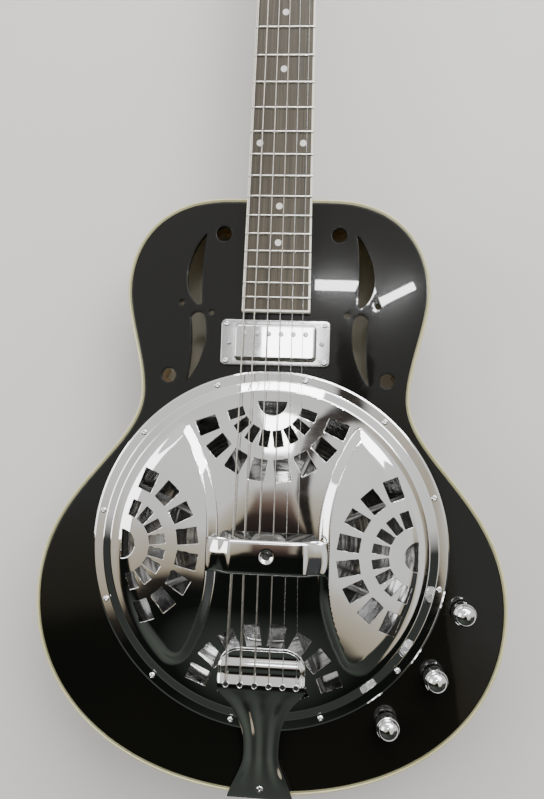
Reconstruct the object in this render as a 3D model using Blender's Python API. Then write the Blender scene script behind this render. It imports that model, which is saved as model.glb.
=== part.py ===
"""Resonator guitar: wooden body, pressed coverplate over a spider-bridge cone, bolt-through tailpiece,
one pickup and three controls, fretted neck with three-on-a-plate machine heads.

Metres, +Z up. The guitar lies on its back: z = 0 is the back's outer face, +Y runs to the headstock and
+X to the treble side. The origin lies straight below the middle of the saddle."""

import math

import bpy
from mathutils import Matrix, Vector
from mathutils.geometry import delaunay_2d_cdt

# Driving dimensions
SCALE_LENGTH = 0.648
FRETS = 20
COMPENSATION = 0.0025
BODY_DEPTH = 0.086
GAP = 0.0003

# Body outline, half of it: where each stretch starts and ends, and the lengths of its curve handles
TOP_END = (0.0418, 0.2920)
UPPER_BOUT = (0.1268, 0.2139)
WAIST = (0.1118, 0.1265)
LOWER_BOUT = (0.1940, -0.0443)
BOTTOM_END = (0.0, -0.1978)
HANDLES = ((0.0630, 0.0362), (0.0275, 0.0279), (0.0496, 0.0894), (0.0928, 0.1105))
OUTLINE_STEPS = (5, 4, 6, 8)

# Wood thicknesses
TOP_THICK = 0.005
BACK_THICK = 0.004
RIB_THICK = 0.003
BINDING_WIDE = 0.0032
BINDING_DEEP = 0.006
LINING_WIDE = 0.006
LINING_DEEP = 0.012
NECK_BLOCK = (0.068, 0.045)  # wide, long
TAIL_BLOCK = (0.060, 0.024)
TAIL_BLOCK_OFF = 0.003  # between the tail block and the lining
JACK_HOLE = 0.0052
KNOB_HOLE = 0.0042

# Resonator
PLATE_RADIUS = 0.1465
PLATE_FLANGE = 0.1385
PLATE_SHOULDER = 0.130
PLATE_THICK = 0.001
SHOULDER_HIGH = 0.0045
DOME_HIGH = 0.006
DOME_REACH = 0.10
LOBE_HIGH = 0.004
LOBE_WALL = 0.012
LOBE_OUTER, LOBE_FADE = 0.126, 0.025
RIDGE_Y = (0.018, 0.040, 0.062, 0.082, 0.100)
WELL_OUTER = 0.140
WELL_MOUTH = 0.1355
WELL_INNER = 0.127
WELL_LEDGE = 0.072
WELL_PORTS, WELL_PORT_RADIUS, WELL_PORT_Z = 8, 0.020, 0.038
CONE_RADIUS = 0.133
CONE_THICK = 0.0012
FAN_CENTRES = (0.1215, 0.1215, 0.1215, 0.1240)  # treble side, neck, bass side, tail
FAN_ROWS = ((0.0315, 0.0136, 0.0077, 70), (0.0575, 0.0177, 0.0130, 68))
FAN_HALF_ROUND = 0.012
SLOT_HALF_WIDE = 0.043
SLOT_LOW, SLOT_HIGH = -0.017, 0.015
SLOT_CORNER = 0.010

# Spider bridge and palm rest
HUB_TOP = BODY_DEPTH + 0.006
HUB_HALF_LONG, HUB_HALF_WIDE, HUB_DEEP = 0.0315, 0.0055, 0.008
CORE_RADIUS = 0.016
SCREW_BORE = 0.0026
SADDLE_TOP = BODY_DEPTH + 0.0151
SADDLE_ENDS = {"bass_saddle": (-0.0300, -0.0052), "treble_saddle": (0.0038, 0.0270)}
SADDLE_HALF_THICK = 0.0016
PALM_HALF_WIDE = 0.0495
PALM_LOW, PALM_HIGH = -0.017, 0.0105
PALM_TOP = BODY_DEPTH + 0.0236
PALM_THICK = 0.0016
PALM_HOLE_Y, PALM_HOLE_RADIUS = -0.0018, 0.0034

# Neck
NUT_Y = SCALE_LENGTH + COMPENSATION
NUT_LONG = 0.0045
NUT_TOP = BODY_DEPTH + 0.0089
BOARD_TOP = BODY_DEPTH + 0.008
BOARD_END = 0.195
BOARD_BINDING = 0.0017
FRET_WIDE = 0.0023
FRET_HIGH = 0.001
HEAD_ANGLE = math.radians(14)
HEAD_THICK = 0.015
HEAD_LONG = 0.185
TRUSS_SLOT = 0.0065

# Strings, bass to treble: their radii, and where each crosses the nut, the saddle and the tailpiece
STRING_RADII = (0.00066, 0.00053, 0.00042, 0.00033, 0.00022, 0.00016)
NUT_X = (-0.0208, -0.0134, -0.0052, 0.0028, 0.0105, 0.0176)
SADDLE_X = (-0.0277, -0.0184, -0.0066, 0.0047, 0.0153, 0.0247)
TAIL_X = (-0.0298, -0.0184, -0.0068, 0.0047, 0.0158, 0.0266)

# Electrics
PICKUP_Y = 0.1697
PICKUP_SIZE = (0.066, 0.028)
RING_SIZE = (0.0905, 0.0385)
RING_THICK = 0.003
PICKUP_TOP = BODY_DEPTH + 0.010
KNOBS = {"volume": (0.1574, -0.0425), "blend": (0.1365, -0.0950), "tone": (0.1000, -0.1340)}
KNOB_RADIUS, KNOB_HIGH = 0.009, 0.017
POT_SHAFT = 0.003
JACK_Z = 0.043

# Machine heads
POST_X = 0.024
POST_ALONG = (0.050, 0.090, 0.130)
POST_RADIUS = 0.003
GEAR_RADIUS = 0.0062
WORM_OFFSET = 0.0091
WORM_RADIUS = 0.0026
WORM_DROP = -0.0193
BUTTON_X = 0.047

PLATE_HALF_WIDE, PLATE_HALF_LONG = 0.0105, 0.058
PLATE_SHEET = 0.0012
LUG_OFFSET, LUG_HALF_THICK, LUG_HALF_LONG = 0.0080, 0.0012, 0.0034
WORM_SHAFT = 0.0017

# Tailpiece
TAIL_Y = BOTTOM_END[1]
TAIL_THICK = 0.0016
PIN_Z = 0.047
PIN_RADIUS = 0.0042
TAIL_PATH = (
    # y, underside above the top, half width, middle
    (-0.0787, 0.0098, 0.0235, -0.0017),
    (-0.0812, 0.0103, 0.0300, -0.0017),
    (-0.0860, 0.0105, 0.0340, -0.0017),
    (-0.0920, 0.0105, 0.0352, -0.0017),
    (-0.1080, 0.0096, 0.0352, -0.0016),
    (-0.1140, 0.0089, 0.0330, -0.0014),
    (-0.1200, 0.0082, 0.0272, -0.0012),
    (-0.1300, 0.0073, 0.0206, -0.0008),
    (-0.1400, 0.0064, 0.0166, -0.0004),
    (-0.1550, 0.0052, 0.0142, 0.0),
    (-0.1640, 0.0040, 0.0142, 0.0),
    (-0.1740, 0.0026, 0.0163, 0.0),
    (-0.1850, 0.0022, 0.0212, 0.0),
    (TAIL_Y - 0.0004, 0.0016, 0.0268, 0.0),
)
TAIL_DROP = ((0.0866, 0.0265), (0.062, 0.0200), (0.036, 0.0120))  # z, half width


def clear_scene():
    for thing in list(bpy.data.objects):
        bpy.data.objects.remove(thing, do_unlink=True)


def material(name, colour, roughness, metallic=0.0):
    made = bpy.data.materials.get(name) or bpy.data.materials.new(name)
    made.use_nodes = True
    shader = made.node_tree.nodes["Principled BSDF"]
    shader.inputs["Base Color"].default_value = (*colour, 1)
    shader.inputs["Roughness"].default_value = roughness
    shader.inputs["Metallic"].default_value = metallic
    return made


def lacquer():
    return material("black_lacquer", (0.012, 0.010, 0.010), 0.08)


def pale_wood():
    return material("pale_wood", (0.55, 0.38, 0.22), 0.6)


def cream():
    return material("cream_binding", (0.62, 0.56, 0.36), 0.35)


def chrome():
    return material("chrome", (0.82, 0.83, 0.85), 0.06, 1.0)


def aluminium():
    return material("aluminium", (0.62, 0.63, 0.65), 0.35, 1.0)


def steel():
    return material("steel", (0.55, 0.55, 0.56), 0.3, 1.0)


def brass():
    return material("brass", (0.65, 0.48, 0.22), 0.3, 1.0)


def rosewood():
    return material("rosewood", (0.07, 0.04, 0.03), 0.5)


def maple():
    return material("maple", (0.60, 0.42, 0.22), 0.5)


def ivory_plastic():
    return material("ivory_plastic", (0.72, 0.68, 0.55), 0.35)


def black_plastic():
    return material("black_plastic", (0.02, 0.02, 0.02), 0.35)


def make_object(name, verts, faces, finish):
    mesh = bpy.data.meshes.new(name)
    mesh.from_pydata([tuple(v) for v in verts], [], faces)
    mesh.validate()
    mesh.shade_smooth()
    mesh.set_sharp_from_angle(angle=math.radians(35))
    mesh.materials.append(finish)
    made = bpy.data.objects.new(name, mesh)
    bpy.context.scene.collection.objects.link(made)
    return made


def plate(name, outer, holes, low, high, finish, inner_points=()):
    """A sheet with holes. low and high are its two faces' heights, each a number or a function of x and y."""
    flat = []
    loops = []
    for loop in [outer, *holes]:
        loops.append(list(range(len(flat), len(flat) + len(loop))))
        flat += [Vector(p) for p in loop]
    flat += [Vector(p) for p in inner_points]
    spots, _, tris, _, _, _ = delaunay_2d_cdt(flat, [], loops, 2, 1e-7)
    used = sorted({i for tri in tris for i in tri})
    place = {old: new for new, old in enumerate(used)}
    count = len(used)
    height = [f if callable(f) else (lambda x, y, f=f: f) for f in (low, high)]
    verts = [(*spots[i], height[1](*spots[i])) for i in used]
    verts += [(*spots[i], height[0](*spots[i])) for i in used]
    top = [[place[i] for i in tri] for tri in tris]
    edges = {(tri[k], tri[(k + 1) % 3]) for tri in top for k in range(3)}
    faces = list(top)
    faces += [[i + count for i in reversed(tri)] for tri in top]
    faces += [[b, a, a + count, b + count] for a, b in edges if (b, a) not in edges]
    return make_object(name, verts, faces, finish)


def turned(name, profile, finish, segments=24, closed=False):
    """A profile of (radius, z) turned about Z. It runs up its outer side; closed makes it a ring."""
    verts = []
    rows = []
    for radius, z in profile:
        if radius == 0:
            rows.append([len(verts)] * segments)
            verts.append((0, 0, z))
            continue
        rows.append(list(range(len(verts), len(verts) + segments)))
        for k in range(segments):
            turn = math.tau * k / segments
            verts.append((radius * math.cos(turn), radius * math.sin(turn), z))
    faces = []
    for below, above in zip(rows, rows[1:] + rows[:1] if closed else rows[1:]):
        for k in range(segments):
            nxt = (k + 1) % segments
            corners = [below[k], below[nxt], above[nxt], above[k]]
            faces.append(list(dict.fromkeys(corners)))
    return make_object(name, verts, faces, finish)


def lofted(name, sections, finish):
    """A skin through sections of equally many points, with both ends closed."""
    count = len(sections[0])
    verts = [p for section in sections for p in section]
    faces = [list(range(count))[::-1]]
    last = (len(sections) - 1) * count
    faces.append([last + i for i in range(count)])
    for k in range(len(sections) - 1):
        for i in range(count):
            nxt = (i + 1) % count
            faces.append([k * count + i, k * count + nxt, (k + 1) * count + nxt, (k + 1) * count + i])
    return make_object(name, verts, faces, finish)


def block(name, low, high, finish):
    (x0, y0, z0), (x1, y1, z1) = low, high
    rows = [[(x0, y0, z), (x1, y0, z), (x1, y1, z), (x0, y1, z)] for z in (z0, z1)]
    return lofted(name, rows, finish)


def apply_boolean(target, other, operation):
    """Joins other to target, or cuts it from target. The other stays as a hidden helper."""
    modifier = target.modifiers.new(other.name, "BOOLEAN")
    modifier.operation = operation
    modifier.object = other
    other.hide_render = True
    other.display_type = "WIRE"


def cylinder(name, radius, low, high, segments=16):
    return turned(name, [(0, low), (radius, low), (radius, high), (0, high)], steel(), segments)


def point_along(thing, place, axis):
    """Stands a piece that was made along Z at place, turned to lie along axis."""
    turn = Vector((0, 0, 1)).rotation_difference(Vector(axis)).to_matrix().to_4x4()
    thing.matrix_world = Matrix.Translation(place) @ turn


def bezier(a, b, c, d, steps):
    """Points of a cubic curve from a, without its last point d."""
    out = []
    for k in range(steps):
        t = k / steps
        weights = ((1 - t) ** 3, 3 * (1 - t) ** 2 * t, 3 * (1 - t) * t * t, t ** 3)
        out.append(tuple(sum(w * p[i] for w, p in zip(weights, (a, b, c, d))) for i in (0, 1)))
    return out


def circle(x, y, radius, segments, phase=0.0):
    turns = [phase + math.tau * k / segments for k in range(segments)]
    return [(x + radius * math.cos(t), y + radius * math.sin(t)) for t in turns]


def rectangle(x, y, wide, tall, corner=0.0, steps=3):
    """A rectangle centred on x, y, its corners rounded to the radius given."""
    if not corner:
        return [(x + sx * wide / 2, y + sy * tall / 2) for sx, sy in ((-1, -1), (1, -1), (1, 1), (-1, 1))]
    out = []
    for sx, sy, start in ((1, 1, 0), (-1, 1, 90), (-1, -1, 180), (1, -1, 270)):
        for k in range(steps + 1):
            turn = math.radians(start + 90 * k / steps)
            out.append((
                x + sx * (wide / 2 - corner) + corner * math.cos(turn),
                y + sy * (tall / 2 - corner) + corner * math.sin(turn),
            ))
    return out


def half_outline(inset=0.0):
    """The treble half of the body's outline, from the neck end to the tail, moved inwards by inset."""
    ends = (TOP_END, UPPER_BOUT, WAIST, LOWER_BOUT, BOTTOM_END)
    ways = ((1, 0), (0, -1), (0, -1), (0, -1), (-1, 0))
    points = []
    for i, (out, back) in enumerate(HANDLES):
        a, d = Vector(ends[i]), Vector(ends[i + 1])
        b = a + Vector(ways[i]) * out
        c = d - Vector(ways[i + 1]) * back
        points += bezier(a, b, c, d, OUTLINE_STEPS[i])
    points.append(BOTTOM_END)
    moved = []
    for i, point in enumerate(points):
        before = Vector(points[max(i - 1, 0)]) if i else Vector((0, TOP_END[1]))
        after = Vector(points[i + 1]) if i + 1 < len(points) else Vector((-points[-2][0], points[-2][1]))
        along = (after - before).normalized()
        moved.append((point[0] + inset * along.y, point[1] - inset * along.x))
    return moved


def whole_outline(inset=0.0):
    half = half_outline(inset)
    return half + [(-x, y) for x, y in reversed(half) if x > 1e-6]


def ring_between(name, outer_inset, inner_inset, low, high, finish):
    return plate(name, whole_outline(outer_inset), [whole_outline(inner_inset)], low, high, finish)


def rib(name, side):
    """One bent side, from the middle of the neck end to the middle of the tail."""
    low, high = BINDING_DEEP + GAP, BODY_DEPTH - BINDING_DEEP - GAP
    edge = GAP / 2
    outer = [(edge, TOP_END[1]), *half_outline()]
    inner = [(edge, TOP_END[1] - RIB_THICK), *half_outline(RIB_THICK)]
    outer[-1] = (edge, outer[-1][1])
    inner[-1] = (edge, inner[-1][1])
    loop = outer + inner[::-1]
    return plate(name, [(side * x, y) for x, y in loop], [], low, high, lacquer())


def sound_holes(side):
    """The openings on one side of the fretboard: two crescents, two large round holes and two small ones."""
    upper = bezier((0.063, 0.262), (0.077, 0.248), (0.086, 0.215), (0.069, 0.2015), 7)
    upper += bezier((0.069, 0.2015), (0.067, 0.201), (0.066, 0.2015), (0.0655, 0.203), 2)
    upper += bezier((0.0655, 0.203), (0.0665, 0.222), (0.066, 0.248), (0.063, 0.262), 4)
    lower = bezier((0.0744, 0.191), (0.0725, 0.176), (0.0715, 0.156), (0.076, 0.136), 4)
    lower += bezier((0.076, 0.136), (0.0645, 0.150), (0.058, 0.172), (0.0625, 0.1915), 6)
    lower += bezier((0.0625, 0.1915), (0.065, 0.1965), (0.0715, 0.1965), (0.0744, 0.191), 3)
    rounds = [circle(0.0485, 0.2617, 0.00625, 10), circle(0.091, 0.141, 0.006, 10)]
    small = [circle(0.082, 0.2025, 0.0023, 6), circle(0.0567, 0.1946, 0.0023, 6)]
    return [[(side * x, y) for x, y in hole] for hole in [upper, lower, *rounds, *small]]


def make_body():
    inside = BINDING_WIDE + GAP
    plate("back_plate", whole_outline(inside), [], 0, BACK_THICK, lacquer())
    ring_between("back_binding", 0, BINDING_WIDE, 0, BINDING_DEEP, cream())
    ring_between("top_binding", 0, BINDING_WIDE, BODY_DEPTH - BINDING_DEEP, BODY_DEPTH, cream())
    for name, side in (("bass_rib", -1), ("treble_rib", 1)):
        made = rib(name, side)
        if side == 1:
            hole = cylinder("jack_hole", JACK_HOLE, -0.02, 0.02, 12)
            point_along(hole, (LOWER_BOUT[0], LOWER_BOUT[1], JACK_Z), (1, 0, 0))
            apply_boolean(made, hole, "DIFFERENCE")
    lining = RIB_THICK + GAP
    for name, low in (
        ("back_lining", BACK_THICK + GAP),
        ("top_lining", BODY_DEPTH - TOP_THICK - GAP - LINING_DEEP),
    ):
        ring_between(name, lining, lining + LINING_WIDE, low, low + LINING_DEEP, pale_wood())
    holes = [hole for side in (-1, 1) for hole in sound_holes(side)]
    holes.append(circle(0, 0, WELL_MOUTH, 40))
    holes.append(rectangle(0, PICKUP_Y, PICKUP_SIZE[0] + 0.004, PICKUP_SIZE[1] + 0.004))
    holes += [circle(x, y, KNOB_HOLE, 10) for x, y in KNOBS.values()]
    plate("top_plate", whole_outline(inside), holes, BODY_DEPTH - TOP_THICK, BODY_DEPTH, lacquer())
    clear_of_lining = RIB_THICK + LINING_WIDE + 2 * GAP
    wide, long = NECK_BLOCK
    inner_block("neck_block", wide, TOP_END[1] - clear_of_lining - long, long)
    wide, long = TAIL_BLOCK
    inner_block("tail_block", wide, BOTTOM_END[1] + clear_of_lining + TAIL_BLOCK_OFF, long)


def inner_block(name, wide, start, long):
    """A block of wood between the back and the top, on the centre line."""
    low, high = BACK_THICK + GAP, BODY_DEPTH - TOP_THICK - GAP
    block(name, (-wide / 2, start, low), (wide / 2, start + long, high), pale_wood())


def make_soundwell():
    low, high = BACK_THICK + GAP, BODY_DEPTH - TOP_THICK - GAP
    profile = [
        (WELL_OUTER, low),
        (WELL_OUTER, high),
        (WELL_MOUTH, high),
        (WELL_MOUTH, WELL_LEDGE),
        (WELL_INNER, WELL_LEDGE),
        (WELL_INNER, low),
    ]
    well = turned("soundwell_ring", profile, pale_wood(), 40, closed=True)
    for k in range(WELL_PORTS):
        turn = math.tau * (k + 0.5) / WELL_PORTS
        way = Vector((math.cos(turn), math.sin(turn), 0))
        hole = cylinder(f"well_hole_{k}", WELL_PORT_RADIUS, -0.02, 0.02, 10)
        point_along(hole, way * WELL_OUTER + Vector((0, 0, WELL_PORT_Z)), way)
        apply_boolean(well, hole, "DIFFERENCE")


def make_cone():
    """A thin pressed bowl with a flat rim and a raised middle, which the tension screw pulls on."""
    rim = WELL_LEDGE + GAP
    under = [(0, 0.062), (0.020, 0.060), (0.075, 0.048), (0.122, rim - 0.004), (0.125, rim), (CONE_RADIUS, rim)]
    above = [(r, z + CONE_THICK) for r, z in reversed(under)]
    turned("resonator_cone", under + above, aluminium(), 32)


def make_spider():
    """An eight-legged casting that stands on the cone's rim and carries the saddle."""
    low = HUB_TOP - HUB_DEEP
    hub = ((-HUB_HALF_LONG, -HUB_HALF_WIDE, low), (HUB_HALF_LONG, HUB_HALF_WIDE, HUB_TOP))
    spider = block("spider_bridge", *hub, aluminium())
    core_low, core_high = low - 0.001, HUB_TOP - 0.002
    core = [(SCREW_BORE, core_low), (CORE_RADIUS, core_low), (CORE_RADIUS, core_high), (SCREW_BORE, core_high)]
    apply_boolean(spider, turned("spider_core", core, aluminium(), 16, closed=True), "UNION")
    foot = WELL_LEDGE + 2 * GAP + CONE_THICK
    # distance from the middle, underside, upper side
    spine = ((0.010, 0.084, 0.0895), (0.060, 0.083, 0.0885), (0.112, 0.0745, 0.080), (0.130, foot, 0.0785))
    half = 0.0022
    for k in range(8):
        sections = [[(r, -half, z0), (r, half, z0), (r, half, z1), (r, -half, z1)] for r, z0, z1 in spine]
        leg = lofted(f"spider_leg_{k}", sections, aluminium())
        leg.matrix_world = Matrix.Rotation(math.radians(22.5 + 45 * k), 4, "Z")
        apply_boolean(spider, leg, "UNION")
    apply_boolean(spider, cylinder("spider_bore", SCREW_BORE, 0.06, 0.11, 12), "DIFFERENCE")
    thick = SADDLE_HALF_THICK
    for name, (start, end) in SADDLE_ENDS.items():
        block(name, (start, -thick, HUB_TOP + GAP), (end, thick, SADDLE_TOP), maple())
    head = HUB_TOP + GAP
    screw = [(0, 0.0636), (0.0022, 0.0636), (0.0022, head), (0.0034, head), (0.0034, head + 0.003), (0, head + 0.003)]
    turned("tension_screw", screw, steel(), 12)


def smooth_step(value):
    t = min(max(value, 0.0), 1.0)
    return t * t * (3 - 2 * t)


def ridge_x(y):
    """Half the width of the string channel at y: narrow beside the palm rest, flaring to the rim."""
    reach = max(abs(y) - 0.015, 0) / 0.082
    return 0.041 + 0.025 * reach ** 2


def cover_height(x, y):
    """The coverplate's underside: a flat flange, a shoulder, a low dome, and a lobe each side of the strings."""
    radius = math.hypot(x, y)
    base = BODY_DEPTH + GAP
    if radius > PLATE_FLANGE:
        return base
    shoulder = SHOULDER_HIGH * smooth_step((PLATE_FLANGE - radius) / (PLATE_FLANGE - PLATE_SHOULDER))
    dome = DOME_HIGH * smooth_step((PLATE_SHOULDER - radius) / DOME_REACH)
    inner_wall = smooth_step((abs(x) - ridge_x(y)) / LOBE_WALL)
    outer_wall = smooth_step((LOBE_OUTER - radius) / LOBE_FADE)
    return base + shoulder + dome + LOBE_HIGH * inner_wall * outer_wall


def fan_holes(turn, centre):
    """One fan of punched holes: a half-round opening near the rim, then two rows of wedges about its centre.
    centre is how far the fan's own middle lies from the plate's, and turn the way to it."""
    def placed(points):
        c, s = math.cos(turn), math.sin(turn)
        return [(c * x - s * y, s * x + c * y) for x, y in points]

    half_round = [
        (centre - FAN_HALF_ROUND * math.cos(a), FAN_HALF_ROUND * math.sin(a))
        for a in (math.radians(-90 + 30 * k) for k in range(7))
    ]
    out = [placed(half_round)]
    for radius, deep, wide, spread in FAN_ROWS:
        near, far = radius - deep / 2, radius + deep / 2
        half = wide / 2 / radius
        for k in range(8):
            middle = math.radians(-spread + 2 * spread * k / 7)
            corners = ((near, -half), (far, -half), (far, half), (near, half))
            out.append(placed([
                (centre - r * math.cos(middle + a), r * math.sin(middle + a)) for r, a in corners
            ]))
    return out


def make_coverplate():
    holes = []
    for quarter, centre in enumerate(FAN_CENTRES):
        holes += fan_holes(math.radians(90 * quarter), centre)
    slot_middle = (SLOT_LOW + SLOT_HIGH) / 2
    holes.append(rectangle(0, slot_middle, 2 * SLOT_HALF_WIDE, SLOT_HIGH - SLOT_LOW, SLOT_CORNER))
    rings = circle(0, 0, PLATE_FLANGE, 32) + circle(0, 0, PLATE_SHOULDER, 32, 0.1)
    ridges = [
        (sx * (ridge_x(y) + across), sy * y)
        for sx in (-1, 1)
        for sy in (-1, 1)
        for y in RIDGE_Y
        for across in (0, LOBE_WALL)
    ]
    plate(
        "coverplate",
        circle(0, 0, PLATE_RADIUS, 40),
        holes,
        cover_height,
        lambda x, y: cover_height(x, y) + PLATE_THICK,
        chrome(),
        rings + ridges,
    )


def make_palm_rest():
    """An arch over the saddle, from one lobe to the other, with a round hole above the tension screw."""
    foot = cover_height(PALM_HALF_WIDE, 0.0) + PLATE_THICK + GAP
    half = [
        # x, upper face
        (PALM_HALF_WIDE, foot + PALM_THICK),
        (0.0450, foot + 0.0030),
        (0.0390, PALM_TOP - 0.0042),
        (0.0340, PALM_TOP - 0.0014),
        (0.0280, PALM_TOP - 0.0002),
        (0.0, PALM_TOP + 0.0004),
    ]
    upper = half + [(-x, z) for x, z in reversed(half[:-1])]
    under = [(x, z - PALM_THICK) for x, z in reversed(upper)]
    sections = [[(x, y, z) for x, z in upper + under] for y in (PALM_HIGH, PALM_LOW)]
    rest = lofted("palm_rest", sections, chrome())
    hole = cylinder("palm_hole", PALM_HOLE_RADIUS, PALM_TOP - 0.01, PALM_TOP + 0.01, 12)
    hole.location = (0, PALM_HOLE_Y, 0)
    apply_boolean(rest, hole, "DIFFERENCE")


def make_tailpiece():
    """A pressed strap from the end pin over the tail to the ball-end hood above the coverplate."""
    sections = []
    for y, above_top, half, middle in TAIL_PATH:
        low = BODY_DEPTH + above_top
        high = low + TAIL_THICK
        left, right = middle - half, middle + half
        sections.append([(left, y, low), (right, y, low), (right, y, high), (left, y, high)])
    inner = TAIL_Y - 0.0008
    outer = inner - TAIL_THICK
    for z, half in TAIL_DROP:
        sections.append([(-half, inner, z), (half, inner, z), (half, outer, z), (-half, outer, z)])
    piece = lofted("tailpiece", sections, chrome())
    hole = cylinder("tailpiece_hole", PIN_RADIUS + 0.0006, -0.01, 0.01, 12)
    point_along(hole, (0, TAIL_Y, PIN_Z), (0, -1, 0))
    apply_boolean(piece, hole, "DIFFERENCE")
    pin_profile = [
        (0, -0.014), (PIN_RADIUS, -0.014), (PIN_RADIUS, 0), (0.0080, 0), (0.0080, 0.0015), (0.0048, 0.004),
        (0.0048, 0.007), (0.0072, 0.010), (0.0072, 0.012), (0.0062, 0.0135), (0, 0.0135),
    ]
    pin = turned("end_pin", pin_profile, chrome(), 16)
    point_along(pin, (0, outer - GAP, PIN_Z), (0, -1, 0))
    for name in ("bass_rib", "treble_rib", "tail_block"):
        bore = cylinder(f"{name}_pin_bore", PIN_RADIUS + 0.0004, -0.02, 0.02, 12)
        point_along(bore, (0, TAIL_Y, PIN_Z), (0, -1, 0))
        apply_boolean(bpy.data.objects[name], bore, "DIFFERENCE")


def make_pickup():
    ring_low = BODY_DEPTH + GAP
    opening = rectangle(0, PICKUP_Y, PICKUP_SIZE[0] + 0.001, PICKUP_SIZE[1] + 0.001)
    outline = rectangle(0, PICKUP_Y, *RING_SIZE, corner=0.004)
    plate("pickup_ring", outline, [opening], ring_low, ring_low + RING_THICK, chrome())
    wide, tall = PICKUP_SIZE
    cover = [
        (rectangle(0, PICKUP_Y, wide, tall, 0.0025), 0.076),
        (rectangle(0, PICKUP_Y, wide, tall, 0.0025), PICKUP_TOP - 0.001),
        (rectangle(0, PICKUP_Y, wide - 0.002, tall - 0.002, 0.002), PICKUP_TOP),
    ]
    lofted("pickup", [[(x, y, z) for x, y in loop] for loop, z in cover], chrome())


def make_controls():
    under_top = BODY_DEPTH - TOP_THICK - GAP
    case = [
        (0, -0.013), (0.0110, -0.013), (0.0115, -0.012), (0.0115, -0.001), (0.0038, -0.001),
        (0.0038, TOP_THICK + GAP + 0.0012), (POT_SHAFT + GAP, TOP_THICK + GAP + 0.0012),
        (POT_SHAFT + GAP, -0.010), (0, -0.010),
    ]
    base = BODY_DEPTH + 0.002
    hollow = POT_SHAFT + GAP
    knob = [
        (0, 0.0125), (hollow, 0.0125), (hollow, 0.003), (0.0055, 0.003), (0.0055, 0), (KNOB_RADIUS, 0),
        (KNOB_RADIUS, 0.0095), (KNOB_RADIUS - 0.0008, 0.0125), (KNOB_RADIUS - 0.0040, 0.0160), (0, KNOB_HIGH),
    ]
    for name, (x, y) in KNOBS.items():
        turned(f"{name}_pot", case, steel(), 16).location = (x, y, under_top)
        shaft_low = under_top - 0.010 + GAP
        shaft = turned(
            f"{name}_shaft",
            [(0, 0), (POT_SHAFT, 0), (POT_SHAFT, base + 0.0122 - shaft_low), (0, base + 0.0122 - shaft_low)],
            brass(),
            12,
        )
        shaft.location = (x, y, shaft_low)
        turned(f"{name}_knob", knob, chrome(), 20).location = (x, y, base)


def make_jack():
    """A quarter-inch socket through the treble rib, its nut outside and its sleeve open at the outer end."""
    bore = 0.0033
    profile = [
        (0, -0.0265), (0.0070, -0.0265), (0.0070, -0.0050), (0.0048, -0.0050), (0.0048, 0.0007), (0.0082, 0.0007),
        (0.0082, 0.0037), (0.0055, 0.0047), (bore, 0.0047), (bore, -0.0240), (0, -0.0240),
    ]
    jack = turned("output_jack", profile, chrome(), 16)
    point_along(jack, (LOWER_BOUT[0], LOWER_BOUT[1], JACK_Z), (1, 0, 0))


def board_half_width(y):
    """Half the fretboard's width at y: it widens from the nut to the body end."""
    return (0.050 + (0.435 - y) * 0.0267) / 2


def fret_y(number):
    return SCALE_LENGTH * 2 ** (-number / 12) + COMPENSATION


def make_fretboard():
    """The board with its frets, inside a cream binding that runs along both edges and round the body end."""
    low = BODY_DEPTH + GAP
    near, far = BOARD_END + BOARD_BINDING + GAP, NUT_Y - GAP
    stations = [(near, BOARD_TOP)]
    for number in range(FRETS, 0, -1):
        y = fret_y(number)
        half = FRET_WIDE / 2
        crown = BOARD_TOP + FRET_HIGH
        stations += [(y - half, BOARD_TOP), (y - half / 2, crown), (y + half / 2, crown), (y + half, BOARD_TOP)]
    stations.append((far, BOARD_TOP))
    sections = []
    for y, top in stations:
        half = board_half_width(y) - BOARD_BINDING - GAP
        sections.append([(half, y, low), (-half, y, low), (-half, y, top), (half, y, top)])
    lofted("fretboard", sections, rosewood())
    end, start = board_half_width(BOARD_END), board_half_width(NUT_Y)
    wall = BOARD_BINDING
    loop = [
        (-end, BOARD_END), (end, BOARD_END), (start, NUT_Y - GAP), (start - wall, NUT_Y - GAP),
        (end - wall, BOARD_END + wall), (-end + wall, BOARD_END + wall), (-start + wall, NUT_Y - GAP),
        (-start, NUT_Y - GAP),
    ]
    plate("fretboard_binding", loop, [], low, BOARD_TOP, cream())
    half = board_half_width(NUT_Y) - 0.0002
    block("nut", (-half, NUT_Y, low), (half, NUT_Y + NUT_LONG, NUT_TOP), ivory_plastic())


def neck_section(place, along, half_wide, low_half, depth):
    """One section across the neck: flat on top, rounded underneath. place is the middle of its top edge."""
    down = Vector((0, -along.z, along.y)) * -1
    points = []
    for k in range(9):
        turn = math.pi * k / 8
        across = math.cos(turn)
        sink = math.sin(turn) ** 0.7
        width = half_wide + (low_half - half_wide) * sink
        points.append(Vector(place) + Vector((across * width, 0, 0)) + down * depth * sink)
    return points


def head_frame():
    """The headstock's own axes: y along it, z out of its face, from where its face leaves the nut."""
    place = Matrix.Translation((0, NUT_Y + NUT_LONG + 0.001, BODY_DEPTH - GAP))
    return place @ Matrix.Rotation(-HEAD_ANGLE, 4, "X")


def head_section(along, half):
    frame = head_frame()
    corners = []
    for k in range(9):
        turn = math.pi * k / 8
        across = min(max(math.cos(turn) * 1.45, -1), 1)
        sink = min(math.sin(turn) * 2.4, 1)
        corners.append(frame @ Vector((across * half, along, -HEAD_THICK * sink)))
    return corners


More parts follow.
